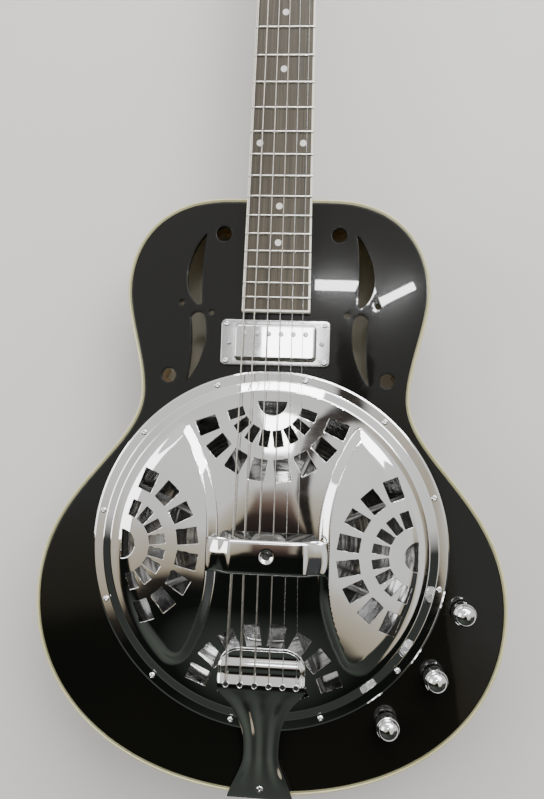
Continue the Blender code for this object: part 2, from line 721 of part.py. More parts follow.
def make_neck():
    """Heel, shaft and headstock in one piece of wood."""
    straight = Vector((0, 1, 0))
    top = BODY_DEPTH - GAP
    heel = (
        # y, half width at the top, half width underneath, depth
        (TOP_END[1] + GAP, 0.0262, 0.0165, 0.079),
        (0.3000, 0.0262, 0.0175, 0.076),
        (0.3080, 0.0260, 0.0195, 0.066),
        (0.3160, 0.0258, 0.0215, 0.048),
        (0.3260, 0.0255, 0.0230, 0.031),
        (0.3400, 0.0255, 0.0235, 0.0225),
        (0.3700, 0.0255, 0.0240, 0.0185),
    )
    sections = []
    for y, half, low, depth in heel:
        sections.append(neck_section((0, y, top), straight, min(half, board_half_width(y)), low, depth))
    for y, depth in ((0.470, 0.0175), (0.560, 0.0165), (0.640, 0.0155)):
        half = board_half_width(y)
        sections.append(neck_section((0, y, top), straight, half, half, depth))
    for along, half in (
        (0.0, 0.0222), (0.014, 0.0250), (0.030, 0.0330), (0.045, 0.0372), (0.100, 0.0385), (0.145, 0.0370),
        (0.168, 0.0300), (0.178, 0.0210), (HEAD_LONG, 0.0120),
    ):
        sections.append(head_section(along, half))
    neck = lofted("neck", sections, lacquer())
    channel_low = top - 0.0095
    channel = block(
        "truss_channel",
        (-TRUSS_SLOT / 2, 0.300, channel_low),
        (TRUSS_SLOT / 2, NUT_Y + NUT_LONG + 0.016, top + 0.010),
        rosewood(),
    )
    apply_boolean(neck, channel, "DIFFERENCE")
    rod = [(0, 0), (0.0028, 0), (0.0028, 0.345), (0.0026, 0.345), (0.0026, 0.352), (0, 0.352)]
    rod_piece = turned("truss_rod", rod, steel(), 8)
    point_along(rod_piece, (0, 0.302, channel_low + 0.0034), (0, 1, 0))
    frame = head_frame()
    for side in (-1, 1):
        for along in POST_ALONG:
            hole = cylinder(f"post_hole_{side}_{along}", 0.0042, -0.03, 0.02, 10)
            hole.matrix_world = frame @ Matrix.Translation((side * POST_X, along, 0))
            apply_boolean(neck, hole, "DIFFERENCE")
    cover = bezier((-0.0085, 0.010), (-0.0085, 0.024), (-0.006, 0.034), (0, 0.040), 4)
    cover += bezier((0, 0.040), (0.006, 0.034), (0.0085, 0.024), (0.0085, 0.010), 4)
    cover.append((0.0085, 0.010))
    cover_piece = plate("truss_rod_cover", cover[::-1], [], GAP, 0.002, black_plastic())
    cover_piece.matrix_world = frame


def make_machine_heads():
    """Each side's plate carries three worms. A worm turns the gear on its string post's lower end."""
    frame = head_frame()
    under = -HEAD_THICK - GAP
    sheet = PLATE_SHEET
    middle = sum(POST_ALONG) / 3 + WORM_OFFSET / 2
    for side, hand in ((-1, "bass"), (1, "treble")):
        low = (side * POST_X - PLATE_HALF_WIDE, middle - PLATE_HALF_LONG, under - sheet)
        high = (side * POST_X + PLATE_HALF_WIDE, middle + PLATE_HALF_LONG, under)
        base = block(f"{hand}_tuner_plate", low, high, chrome())
        base.matrix_world = frame
        for number, along in enumerate(POST_ALONG, 1):
            worm_y = along + WORM_OFFSET
            for lug, offset in (("inner", -LUG_OFFSET), ("outer", LUG_OFFSET)):
                x = side * (POST_X + offset)
                tab = block(
                    f"{hand}_lug_{lug}_{number}",
                    (x - LUG_HALF_THICK, worm_y - LUG_HALF_LONG, WORM_DROP - LUG_HALF_LONG),
                    (x + LUG_HALF_THICK, worm_y + LUG_HALF_LONG, under - sheet / 2),
                    chrome(),
                )
                tab.matrix_world = frame
                apply_boolean(base, tab, "UNION")
            bearing = cylinder(f"{hand}_bearing_{number}", WORM_SHAFT + GAP, -0.03, 0.03, 8)
            bearing.matrix_world = frame @ Matrix.Translation((side * POST_X, worm_y, WORM_DROP)) @ Matrix.Rotation(
                math.radians(90), 4, "Y"
            )
            apply_boolean(base, bearing, "DIFFERENCE")
            hole = cylinder(f"{hand}_plate_hole_{number}", POST_RADIUS + GAP, -0.03, 0.0, 10)
            hole.matrix_world = frame @ Matrix.Translation((side * POST_X, along, 0))
            apply_boolean(base, hole, "DIFFERENCE")

            gear_top = under - sheet - GAP
            post = [
                (0, gear_top - 0.0040), (GEAR_RADIUS, gear_top - 0.0040), (GEAR_RADIUS, gear_top),
                (POST_RADIUS, gear_top), (POST_RADIUS, 0.0050), (POST_RADIUS - 0.0004, 0.0075),
                (POST_RADIUS, 0.0100), (POST_RADIUS, 0.0135), (0, 0.0140),
            ]
            piece = turned(f"{hand}_post_{number}", post, chrome(), 12)
            piece.matrix_world = frame @ Matrix.Translation((side * POST_X, along, 0))

            worm = turned(f"{hand}_tuner_{number}", worm_profile(), chrome(), 12)
            for vert in worm.data.vertices:
                if vert.co.z > BUTTON_X - POST_X - 0.001:
                    vert.co.x *= 0.55
            worm.matrix_world = frame @ Matrix.Translation((side * POST_X, worm_y, WORM_DROP)) @ Matrix.Rotation(
                side * math.radians(90), 4, "Y"
            )


def worm_profile():
    """A worm shaft from its inner bearing out to the button, as (radius, distance from the post's line)."""
    button = BUTTON_X - POST_X
    return [
        (0, -0.0100), (WORM_SHAFT, -0.0100), (WORM_SHAFT, -0.0060), (WORM_RADIUS, -0.0055), (WORM_RADIUS, 0.0055),
        (WORM_SHAFT, 0.0060), (WORM_SHAFT, button), (0.0050, button + 0.0015), (0.0088, button + 0.0060),
        (0.0090, button + 0.0095), (0.0060, button + 0.0140), (0, button + 0.0150),
    ]


def string_name(index):
    return f"string_{6 - index}"


def make_strings():
    """Six strings from the tailpiece over the saddle and the nut to the inner side of their posts."""
    frame = head_frame()
    top = BODY_DEPTH
    for index, radius in enumerate(STRING_RADII):
        side = -1 if index < 3 else 1
        along = POST_ALONG[index if side < 0 else 5 - index]
        lift = radius + GAP
        post_end = frame @ Vector((side * (POST_X - POST_RADIUS - lift), along, 0.0075))
        points = [
            Vector((TAIL_X[index], -0.1060, top + 0.0115 + lift)),
            Vector((TAIL_X[index], -0.0900, top + 0.0122 + lift)),
            Vector((TAIL_X[index], -0.0800, top + 0.0122 + lift)),
            Vector((SADDLE_X[index], -0.0010, SADDLE_TOP + lift)),
            Vector((SADDLE_X[index], 0.0010, SADDLE_TOP + lift)),
            Vector((NUT_X[index], NUT_Y, NUT_TOP + lift)),
            Vector((NUT_X[index], NUT_Y + NUT_LONG, NUT_TOP + lift - 0.0001)),
            post_end,
        ]
        curve = bpy.data.curves.new(string_name(index), "CURVE")
        curve.dimensions = "3D"
        spline = curve.splines.new("POLY")
        spline.points.add(len(points) - 1)
        for point, place in zip(spline.points, points):
            point.co = (*place, 1)
        curve.bevel_depth = radius
        curve.bevel_resolution = 1
        curve.use_fill_caps = True
        curve.materials.append(steel())
        made = bpy.data.objects.new(string_name(index), curve)
        bpy.context.scene.collection.objects.link(made)


def main():
    clear_scene()
    make_body()
    make_soundwell()
    make_cone()
    make_spider()
    make_coverplate()
    make_palm_rest()
    make_tailpiece()
    make_pickup()
    make_controls()
    make_jack()
    make_fretboard()
    make_neck()
    make_machine_heads()
    make_strings()
    bpy.context.view_layer.update()


main()
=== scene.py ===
"""The looks of the resonator guitar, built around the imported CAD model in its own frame.

Metres, +Z up: z = 0 is the back's outer face, +Y runs to the headstock, +X to the treble side, and the
origin lies straight below the middle of the saddle."""

import math

import bpy
import numpy as np
from mathutils import Matrix, Vector
from mathutils.geometry import delaunay_2d_cdt


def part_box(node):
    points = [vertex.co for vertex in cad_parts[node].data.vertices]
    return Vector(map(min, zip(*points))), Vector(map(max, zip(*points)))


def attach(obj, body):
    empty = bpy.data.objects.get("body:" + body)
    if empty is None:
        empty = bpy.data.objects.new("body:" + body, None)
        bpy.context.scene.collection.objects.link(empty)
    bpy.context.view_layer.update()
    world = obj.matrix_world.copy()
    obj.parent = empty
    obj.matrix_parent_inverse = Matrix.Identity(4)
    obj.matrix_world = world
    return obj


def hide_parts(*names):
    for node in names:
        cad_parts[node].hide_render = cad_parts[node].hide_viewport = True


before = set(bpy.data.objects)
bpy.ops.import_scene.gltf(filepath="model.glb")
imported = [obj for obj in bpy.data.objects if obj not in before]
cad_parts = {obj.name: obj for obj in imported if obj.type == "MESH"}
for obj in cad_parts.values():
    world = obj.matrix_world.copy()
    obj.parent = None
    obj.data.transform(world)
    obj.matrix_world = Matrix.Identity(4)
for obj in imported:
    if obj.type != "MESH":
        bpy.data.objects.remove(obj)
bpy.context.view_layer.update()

# ---------------------------------------------------------------- dimensions

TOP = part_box("top_plate")[1].z

TOP_END = (0.0418, 0.2920)
UPPER_BOUT = (0.1268, 0.2139)
WAIST = (0.1118, 0.1265)
LOWER_BOUT = (0.1940, -0.0443)
BOTTOM_END = (0.0, -0.1978)
HANDLES = ((0.0630, 0.0362), (0.0275, 0.0279), (0.0496, 0.0894), (0.0928, 0.1105))
OUTLINE_STEPS = (26, 20, 30, 44)

TOP_THICK = 0.005
BACK_THICK = 0.004
RIB_THICK = 0.003
BINDING_WIDE = 0.0032
BINDING_LINE = 0.0011
BINDING_DEEP = 0.006
LINING_WIDE = 0.006
LINING_DEEP = 0.012
GAP = 0.0003
HOLES_ASIDE = 0.0022

PLATE_RADIUS = 0.1465
PLATE_FLANGE = 0.1385
PLATE_SHOULDER = 0.1298
PLATE_THICK = 0.001
SHOULDER_HIGH = 0.0045
DOME_HIGH = 0.006
DOME_REACH = 0.10
LOBE_HIGH = 0.0046
LOBE_WALL = 0.0085
LOBE_OUTER, LOBE_FADE = 0.1265, 0.014
SCREW_CIRCLE = 0.1415
SCREW_PHASE = math.radians(-4.4)
WELL_OUTER, WELL_MOUTH, WELL_INNER, WELL_LEDGE = 0.140, 0.1355, 0.127, 0.072
CONE_RADIUS = 0.133
FAN_CENTRES = (0.1215, 0.1215, 0.1215, 0.1240)  # treble side, neck, bass side, tail
FAN_ROWS = ((0.0315, 0.0136, 0.0077, 70), (0.0575, 0.0177, 0.0130, 68))
FAN_HALF_ROUND = 0.012
SLOT_HALF_WIDE = 0.0388
SLOT_LOW, SLOT_HIGH = -0.017, 0.015

SCALE_LENGTH = 0.648
COMPENSATION = 0.0025
FRETS = 20
NUT_Y = SCALE_LENGTH + COMPENSATION
NUT_LONG = 0.0045
NUT_TOP = TOP + 0.0089
BOARD_TOP = TOP + 0.008
BOARD_END = 0.195
BOARD_BINDING = 0.0017
FRET_WIDE, FRET_HIGH = 0.0023, 0.001
DOT_RADIUS = 0.00275
DOT_FRETS = {3: (0,), 5: (0,), 7: (0,), 9: (0,), 12: (-0.018, 0.018), 15: (0,), 17: (0,)}
HEAD_ANGLE = math.radians(14)
HEAD_THICK = 0.015

STRING_RADII = (0.00066, 0.00053, 0.00042, 0.00033, 0.00022, 0.00016)
WOUND_STRINGS = 4
NUT_X = (-0.0208, -0.0134, -0.0052, 0.0028, 0.0105, 0.0176)
SADDLE_X = (-0.0277, -0.0184, -0.0066, 0.0047, 0.0153, 0.0247)
TAIL_X = (-0.0298, -0.0184, -0.0068, 0.0047, 0.0158, 0.0266)
BALL_Y = -0.1066
SADDLE_TOP = TOP + 0.0151
HUB_TOP = TOP + 0.006

PICKUP_Y = 0.1697
PICKUP_SIZE = (0.066, 0.028)
RING_SIZE = (0.0905, 0.0385)
KNOBS = ("volume", "blend", "tone")

POST_X = 0.024
POST_ALONG = (0.050, 0.090, 0.130)
POST_RADIUS = 0.003
WORM_OFFSET = 0.0091
WORM_DROP = -0.0193
TAIL_Y = BOTTOM_END[1]
HOOD_X = -0.0017
HOOD_FRONT, HOOD_BACK = -0.0780, -0.1062
HOOD_HALF = 0.0350
HOOD_CORNER = 0.0165

# ---------------------------------------------------------------- materials


class Nodes:
    """A node tree, with short calls for the few kinds of node that the materials and the world need."""

    def add(self, kind, inputs=(), **settings):
        """A new node. Each named input gets a value, or a link from another node's output."""
        made = self.tree.nodes.new(kind)
        for key, value in settings.items():
            setattr(made, key, value)
        for socket, value in inputs:
            if isinstance(value, bpy.types.NodeSocket):
                self.tree.links.new(value, made.inputs[socket])
            else:
                made.inputs[socket].default_value = value
        return made

    def ramp(self, source, *stops):
        """The source as a colour, by stops of (position, colour)."""
        made = self.add("ShaderNodeValToRGB", [("Fac", source)])
        ramp = made.color_ramp
        while len(ramp.elements) < len(stops):
            ramp.elements.new(0.5)
        for element, (at, colour) in zip(ramp.elements, stops):
            element.position = at
            element.color = (*colour, 1)
        return made.outputs["Color"]


class Look(Nodes):
    """A Principled material with a small chain of nodes for its grain, wear and gloss."""

    def __init__(self, name, colour, roughness, metallic=0.0, **sockets):
        self.made = bpy.data.materials.new(name)
        self.made.use_nodes = True
        self.tree = self.made.node_tree
        self.shader = self.tree.nodes["Principled BSDF"]
        values = {"base_color": (*colour, 1), "roughness": roughness, "metallic": metallic, **sockets}
        for socket, value in values.items():
            self.shader.inputs[socket.replace("_", " ").title().replace("Ior", "IOR")].default_value = value

    def noise(self, scale, detail=4.0, stretch=(1, 1, 1), distortion=0.0):
        """Noise over the object's coordinates, in metres, multiplied by stretch."""
        coords = self.add("ShaderNodeTexCoord")
        place = self.add("ShaderNodeMapping", [("Scale", stretch), ("Vector", coords.outputs["Object"])])
        inputs = [("Scale", scale), ("Detail", detail), ("Distortion", distortion)]
        return self.add("ShaderNodeTexNoise", inputs + [("Vector", place.outputs["Vector"])]).outputs["Fac"]

    def spread(self, source, low, high, start=0.3, end=0.7):
        """The source, from start to end, as a number from low to high."""
        inputs = [("Value", source), ("From Min", start), ("From Max", end), ("To Min", low),
                  ("To Max", high)]
        return self.add("ShaderNodeMapRange", inputs).outputs["Result"]

    def colour(self, source):
        self.tree.links.new(source, self.shader.inputs["Base Color"])
        return self

    def rough(self, source):
        self.tree.links.new(source, self.shader.inputs["Roughness"])
        return self

    def bump(self, source, strength, distance):
        made = self.add("ShaderNodeBump", [("Strength", strength), ("Distance", distance),
                                           ("Height", source)])
        self.tree.links.new(made.outputs["Normal"], self.shader.inputs["Normal"])
        return self


def make_lacquer():
    look = Look("gloss_black_lacquer", (0.004, 0.004, 0.003), 0.12, coat_weight=0.6, coat_roughness=0.015,
                specular_ior_level=0.1)
    look.rough(look.spread(look.noise(9, 6), 0.10, 0.16))
    look.colour(look.ramp(look.noise(3), (0.35, (0.0030, 0.0034, 0.0026)), (0.75, (0.0052, 0.0048, 0.0036))))
    return look.bump(look.noise(140, 2), 0.01, 0.0002).made


def make_chrome(name="mirror_chrome", wear=0.0, shade=1.0):
    look = Look(name, (0.86, 0.865, 0.87), 0.03, 1.0)
    dull, clean = (tuple(shade * v for v in colour) for colour in ((0.83, 0.835, 0.84), (0.90, 0.905, 0.91)))
    look.rough(look.spread(look.noise(45, 8, (1, 3, 1)), 0.02 + wear, 0.06 + wear))
    look.colour(look.ramp(look.noise(14, 5), (0.3, dull), (0.7, clean)))
    return look.bump(look.noise(30, 3), 0.02, 0.0004).made


def make_spun_aluminium():
    look = Look("spun_aluminium", (0.42, 0.42, 0.42), 0.18, 1.0)
    look.rough(look.spread(look.noise(120, 4), 0.13, 0.22))
    look.colour(look.ramp(look.noise(18, 6), (0.3, (0.36, 0.36, 0.36)), (0.7, (0.48, 0.48, 0.48))))
    return look.bump(look.noise(500, 2), 0.01, 0.0002).made


def make_cast_aluminium():
    look = Look("cast_aluminium", (0.30, 0.30, 0.29), 0.45, 1.0)
    look.rough(look.spread(look.noise(300, 5), 0.36, 0.58))
    look.colour(look.ramp(look.noise(60, 5), (0.3, (0.24, 0.24, 0.23)), (0.7, (0.36, 0.36, 0.35))))
    return look.bump(look.noise(1400, 3), 0.35, 0.0003).made


def make_steel():
    look = Look("plated_steel", (0.52, 0.52, 0.53), 0.28, 1.0)
    look.rough(look.spread(look.noise(220, 5), 0.2, 0.38))
    look.colour(look.ramp(look.noise(50, 5), (0.3, (0.44, 0.44, 0.45)), (0.7, (0.58, 0.58, 0.58))))
    return look.made


def make_nickel():
    look = Look("nickel_fretwire", (0.74, 0.72, 0.67), 0.16, 1.0)
    look.rough(look.spread(look.noise(400, 4, (0.2, 1, 1)), 0.10, 0.26))
    look.colour(look.ramp(look.noise(90, 4), (0.3, (0.68, 0.66, 0.60)), (0.7, (0.80, 0.78, 0.73))))
    return look.made


def make_brass():
    look = Look("turned_brass", (0.62, 0.46, 0.20), 0.3, 1.0)
    look.rough(look.spread(look.noise(300, 4), 0.22, 0.4))
    look.colour(look.ramp(look.noise(80, 4), (0.3, (0.52, 0.37, 0.15)), (0.7, (0.68, 0.51, 0.24))))
    return look.made


def make_binding(name, dark, light):
    look = Look(name, light, 0.3, coat_weight=0.6, coat_roughness=0.08)
    look.colour(look.ramp(look.noise(22, 6), (0.3, dark), (0.7, light)))
    return look.rough(look.spread(look.noise(120, 4), 0.24, 0.38)).made


def make_wood(name, dark, mid, light, along=(60, 3, 60), roughness=0.55, pore=0.25, coat=0.0):
    """Wood whose grain runs along Y: streaks from stretched noise, with fine pores pressed in."""
    look = Look(name, mid, roughness, coat_weight=coat, coat_roughness=0.2)
    streaks = look.noise(1.0, 9, along, 1.2)
    look.colour(look.ramp(streaks, (0.25, dark), (0.5, mid), (0.78, light)))
    pores = look.noise(1.0, 3, (1500, 60, 1500))
    look.rough(look.spread(pores, roughness - 0.1, roughness + 0.12))
    return look.bump(pores, pore, 0.0002).made


def make_pearl():
    look = Look("pearl_dot", (0.80, 0.79, 0.74), 0.2, coat_weight=0.5, coat_roughness=0.1)
    swirl = look.noise(240, 3, (1, 1, 1), 2.0)
    look.colour(look.ramp(swirl, (0.25, (0.70, 0.72, 0.68)), (0.5, (0.86, 0.85, 0.80)),
                          (0.75, (0.80, 0.74, 0.72))))
    return look.made


def make_string_metal(name, dark, light, roughness):
    look = Look(name, light, roughness, 1.0)
    look.colour(look.ramp(look.noise(90, 5, (1, 4, 1)), (0.3, dark), (0.7, light)))
    return look.rough(look.spread(look.noise(500, 3), roughness - 0.08, roughness + 0.1)).made


def make_plastic(name, dark, light, roughness=0.3):
    look = Look(name, light, roughness)
    look.colour(look.ramp(look.noise(30, 5), (0.3, dark), (0.7, light)))
    look.rough(look.spread(look.noise(160, 4), roughness - 0.06, roughness + 0.1))
    return look.bump(look.noise(600, 2), 0.04, 0.0001).made


def make_floor_look():
    look = Look("pale_floor", (0.72, 0.71, 0.69), 0.7)
    return look.colour(look.ramp(look.noise(2.5, 4), (0.3, (0.70, 0.69, 0.67)),
                                 (0.7, (0.74, 0.73, 0.71)))).made


LACQUER = make_lacquer()
CHROME = make_chrome()
DULL_CHROME = make_chrome("satin_chrome", 0.12, 0.66)
SPUN = make_spun_aluminium()
CAST = make_cast_aluminium()
STEEL = make_steel()
NICKEL = make_nickel()
BRASS = make_brass()
CREAM = make_binding("cream_binding", (0.52, 0.48, 0.24), (0.72, 0.68, 0.38))
PALE_CREAM = make_binding("pale_cream_binding", (0.84, 0.80, 0.65), (0.94, 0.91, 0.79))
# painted reflection: this dark olive strip stands for the darker reflection in the binding's flat top, inside
# its rounded edge
REFLECTION_LINE_LOOK = make_binding("painted_reflection_line", (0.20, 0.20, 0.11), (0.30, 0.29, 0.17))
BIRCH = make_wood("birch_ply", (0.76, 0.73, 0.60), (0.84, 0.81, 0.69), (0.90, 0.87, 0.76))
SPRUCE = make_wood("spruce_block", (0.52, 0.36, 0.20), (0.66, 0.48, 0.28), (0.74, 0.58, 0.36))
ROSEWOOD = make_wood(
    "rosewood", (0.020, 0.014, 0.008), (0.052, 0.040, 0.022), (0.092, 0.074, 0.045), (520, 7, 520), 0.42, 0.5
)
MAPLE = make_wood("maple_saddle", (0.50, 0.34, 0.17), (0.64, 0.46, 0.25), (0.72, 0.55, 0.33), (8, 900, 300))
PEARL = make_pearl()
PLAIN_WIRE = make_string_metal("plain_steel_wire", (0.42, 0.42, 0.41), (0.58, 0.58, 0.56), 0.24)
WOUND_WIRE = make_string_metal("wound_nickel_wire", (0.40, 0.38, 0.35), (0.55, 0.52, 0.47), 0.34)
IVORY = make_plastic("ivory_nut", (0.62, 0.58, 0.45), (0.74, 0.70, 0.58))
# real black plastic for the rod cover, and painted shade in the middle of each ball end
BLACK_PLASTIC_AND_SHADE = make_plastic("black_plastic", (0.012, 0.012, 0.012), (0.02, 0.02, 0.02))

# ---------------------------------------------------------------- mesh helpers


def mesh_object(name, verts, faces):
    """A new object in the scene with this mesh."""
    mesh = bpy.data.meshes.new(name)
    mesh.from_pydata([tuple(v) for v in verts], [], faces)
    made = bpy.data.objects.new(name, mesh)
    bpy.context.scene.collection.objects.link(made)
    return made


def flatten_faces(made):
    """Weights a piece's normals by area, so that its flat faces stay flat up to their rounded edges."""
    weighted = made.modifiers.new("flat_normals", "WEIGHTED_NORMAL")
    weighted.keep_sharp = True


def piece(name, verts, faces, looks, slot, stands_for=None, body="body", sharp=35, face_looks=None,
          flats=True):
    """A finished mesh: shaded, given its materials, riding on its body and standing for its CAD node."""
    made = mesh_object(name, verts, faces)
    mesh = made.data
    mesh.validate()
    for look in looks if isinstance(looks, (list, tuple)) else [looks]:
        mesh.materials.append(look)
    if face_looks is not None:
        mesh.polygons.foreach_set("material_index", face_looks)
    mesh.shade_smooth()
    if sharp:
        mesh.set_sharp_from_angle(angle=math.radians(sharp))
    if flats:
        flatten_faces(made)
    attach(made, body)
    if stands_for:
        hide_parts(stands_for)
    return made


def move(made, matrix):
    """Puts a piece's mesh where matrix says. The object itself stays at the frame's origin."""
    made.data.transform(matrix)
    return made


def bezier(a, b, c, d, steps):
    """Points of a cubic curve from a, without its last point d."""
    out = []
    for k in range(steps):
        t = k / steps
        weights = ((1 - t) ** 3, 3 * (1 - t) ** 2 * t, 3 * (1 - t) * t * t, t ** 3)
        out.append(tuple(sum(w * p[i] for w, p in zip(weights, (a, b, c, d))) for i in (0, 1)))
    return out


def circle(x, y, radius, segments, phase=0.0):
    turns = [phase + math.tau * k / segments for k in range(segments)]
    return [(x + radius * math.cos(t), y + radius * math.sin(t)) for t in turns]


def rectangle(x, y, wide, tall, corner, steps=6):
    """A rectangle centred on x, y with rounded corners, anticlockwise."""
    out = []
    for sx, sy, start in ((1, 1, 0), (-1, 1, 90), (-1, -1, 180), (1, -1, 270)):
        for k in range(steps + 1):
            turn = math.radians(start + 90 * k / steps)
            out.append((
                x + sx * (wide / 2 - corner) + corner * math.cos(turn),
                y + sy * (tall / 2 - corner) + corner * math.sin(turn),
            ))
    return out


def loop_normals(loop):
    """At each point of an anticlockwise loop, the way that points out of it."""
    points = np.array(loop)
    ahead = np.roll(points, -1, 0) - points
    behind = points - np.roll(points, 1, 0)
    ahead /= np.linalg.norm(ahead, axis=1, keepdims=True)
    behind /= np.linalg.norm(behind, axis=1, keepdims=True)
    along = ahead + behind
    along /= np.linalg.norm(along, axis=1, keepdims=True)
    return np.stack([along[:, 1], -along[:, 0]], 1)


def grown(loop, distance):
    """The loop with each point moved out by distance."""
    points = np.array(loop) + loop_normals(loop) * distance
    return [tuple(p) for p in points]


def area_of(loop):
    return sum(a[0] * b[1] - b[0] * a[1] for a, b in zip(loop, loop[1:] + loop[:1])) / 2


def anticlockwise(loop):
    return list(loop) if area_of(loop) > 0 else list(loop)[::-1]


def cut_sheet(outer, holes, extra=()):
    """Triangles between an outer loop and its holes: the points, the triangles, and the number of the given
    point that each one is."""
    flat, loops = [], []
    for loop in [outer, *holes]:
        loops.append(list(range(len(flat), len(flat) + len(loop))))
        flat += [Vector(p) for p in loop]
    flat += [Vector(p) for p in extra]
    spots, _, tris, origin, _, _ = delaunay_2d_cdt(flat, [], loops, 2, 1e-8)
    first = [o[0] if o else -1 for o in origin]
    return spots, tris, first


def slab_mesh(outer, holes, low, high, top_edge, low_edge, steps=3):
    """A flat plate with holes and rounded edges, as (verts, faces, kinds). Kinds: 0 top, 1 wall, 2
    underneath."""
    outer = anticlockwise(outer)
    holes = [anticlockwise(h) for h in holes]
    verts, faces, kinds = [], [], []
    rows = []
    for number, loop in enumerate([outer, *holes]):
        way = 1 if number == 0 else -1
        levels = []
        for k in range(steps, -1, -1):
            turn = math.radians(90) * k / steps
            levels.append((-way * top_edge * (1 - math.cos(turn)), high - top_edge * (1 - math.sin(turn))))
        for k in range(steps + 1):
            turn = math.radians(90) * k / steps
            levels.append((-way * low_edge * (1 - math.cos(turn)), low + low_edge * (1 - math.sin(turn))))
        table = []
        for shift, z in levels:
            start = len(verts)
            verts += [(x, y, z) for x, y in grown(loop, shift)]
            table.append(list(range(start, start + len(loop))))
        rows.append(table)
        for upper, lower in zip(table, table[1:]):
            for i in range(len(loop)):
                nxt = (i + 1) % len(loop)
                quad = [lower[i], lower[nxt], upper[nxt], upper[i]]
                faces.append(quad if way == 1 else quad[::-1])
                kinds.append(1)
    for level, turned_over, kind in ((0, False, 0), (-1, True, 2)):
        loops = [table[level] for table in rows]
        order = [i for row in loops for i in row]
        flats = [[verts[i][:2] for i in row] for row in loops]
        _, tris, first = cut_sheet(flats[0], flats[1:])
        for tri in tris:
            corners = [order[first[i]] for i in tri]
            faces.append(corners[::-1] if turned_over else corners)
            kinds.append(kind)
    return verts, faces, kinds


def slab(name, outer, holes, low, high, looks, slot, stands_for=None, top_edge=0.0004, low_edge=0.0003,
         **more):
    """A plate with rounded edges. looks is one material, or three for its top, walls and underneath."""
    verts, faces, kinds = slab_mesh(outer, holes, low, high, top_edge, low_edge)
    several = isinstance(looks, (list, tuple))
    return piece(name, verts, faces, looks, slot, stands_for, face_looks=kinds if several else None, **more)


def turned_mesh(profile, segments, closed=False, wobble=None):
    """A profile of (radius, z) turned about Z. wobble changes a radius by its angle, for knurls and teeth."""
    verts, rows, faces = [], [], []
    for radius, z in profile:
        if radius == 0:
            rows.append([len(verts)] * segments)
            verts.append((0, 0, z))
            continue
        rows.append(list(range(len(verts), len(verts) + segments)))
        for k in range(segments):
            turn = math.tau * k / segments
            r = radius if wobble is None else wobble(radius, z, turn)
            verts.append((r * math.cos(turn), r * math.sin(turn), z))
    for below, above in zip(rows, rows[1:] + rows[:1] if closed else rows[1:]):
        for k in range(segments):
            nxt = (k + 1) % segments
            corners = list(dict.fromkeys([below[k], below[nxt], above[nxt], above[k]]))
            if len(corners) > 2:
                faces.append(corners)
    return verts, faces


def corner_curve(start, corner, end, steps):
    """Points from start to end along a curve that bends round the corner."""
    shares = [k / steps for k in range(steps + 1)]
    return [tuple((1 - t) ** 2 * start + 2 * t * (1 - t) * corner + t * t * end) for t in shares]


def softened(profile, radius, steps=3, closed=False):
    """A profile whose corners off the axis are rounded."""
    out = []
    count = len(profile)
    for i, point in enumerate(profile):
        here = Vector(point)
        if (not closed and i in (0, count - 1)) or here.x == 0:
            out.append(tuple(here))
            continue
        before, after = Vector(profile[i - 1]), Vector(profile[(i + 1) % count])
        back, ahead = before - here, after - here
        reach = min(radius, back.length * 0.45, ahead.length * 0.45)
        out += corner_curve(here + back.normalized() * reach, here, here + ahead.normalized() * reach, steps)
    return out


def turned(name, profile, look, slot, stands_for=None, place=None, segments=48, round_by=0.0003, closed=False,
           wobble=None, **more):
    """A turned piece. place is the matrix that puts it in the frame, a point, or nothing."""
    shaped = softened(profile, round_by, closed=closed) if round_by else profile
    verts, faces = turned_mesh(shaped, segments, closed, wobble)
    made = piece(name, verts, faces, look, slot, stands_for, **more)
    if place is not None:
        move(made, place if isinstance(place, Matrix) else Matrix.Translation(place))
    return made


def lofted_mesh(sections):
    """A skin over rings of points, with the first and last ring filled."""
    count = len(sections[0])
    last = (len(sections) - 1) * count
    verts = [p for section in sections for p in section]
    faces = [list(range(count))[::-1], [last + i for i in range(count)]]
    for k in range(len(sections) - 1):
        for i in range(count):
            nxt = (i + 1) % count
            faces.append([k * count + i, k * count + nxt, (k + 1) * count + nxt, (k + 1) * count + i])
    return verts, faces


def block_mesh(low, high):
    (x0, y0, z0), (x1, y1, z1) = low, high
    return lofted_mesh([[(x0, y0, z), (x1, y0, z), (x1, y1, z), (x0, y1, z)] for z in (z0, z1)])


def rounded_block(name, node, look, slot, bevel):
    """A block the size of its CAD node's box, with softened edges."""
    made = piece(name, *block_mesh(*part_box(node)), look, slot, node, flats=False)
    soften = made.modifiers.new("soft_edges", "BEVEL")
    soften.width = bevel
    soften.segments = 3
    soften.limit_method = "ANGLE"
    flatten_faces(made)


def swept_mesh(points, radii, sides):
    """A tube along points, with a radius at each."""
    points = [Vector(p) for p in points]
    sections = []
    normal = None
    for i, here in enumerate(points):
        along = (points[min(i + 1, len(points) - 1)] - points[max(i - 1, 0)]).normalized()
        normal = normal or along.orthogonal()
        normal = (normal - along * normal.dot(along)).normalized()
        across = along.cross(normal)
        ring = []
        for k in range(sides):
            turn = math.tau * k / sides
            ring.append(here + (normal * math.cos(turn) + across * math.sin(turn)) * radii[i])
        sections.append(ring)
    return lofted_mesh(sections)


def joined(parts):
    """Several (verts, faces) as one."""
    verts, faces = [], []
    for more_verts, more_faces in parts:
        start = len(verts)
        verts += list(more_verts)
        faces += [[start + i for i in face] for face in more_faces]
    return verts, faces


def shifted(part, matrix):
    verts, faces = part
    return [matrix @ Vector(v) for v in verts], faces


def along_axis(point, axis):
    """The matrix that takes +Z to axis and the origin to point."""
    turn = Vector((0, 0, 1)).rotation_difference(Vector(axis)).to_matrix().to_4x4()
    return Matrix.Translation(point) @ turn


def smooth_step(value):
    t = min(max(value, 0.0), 1.0)
    return t * t * (3 - 2 * t)


# ---------------------------------------------------------------- the body's outline


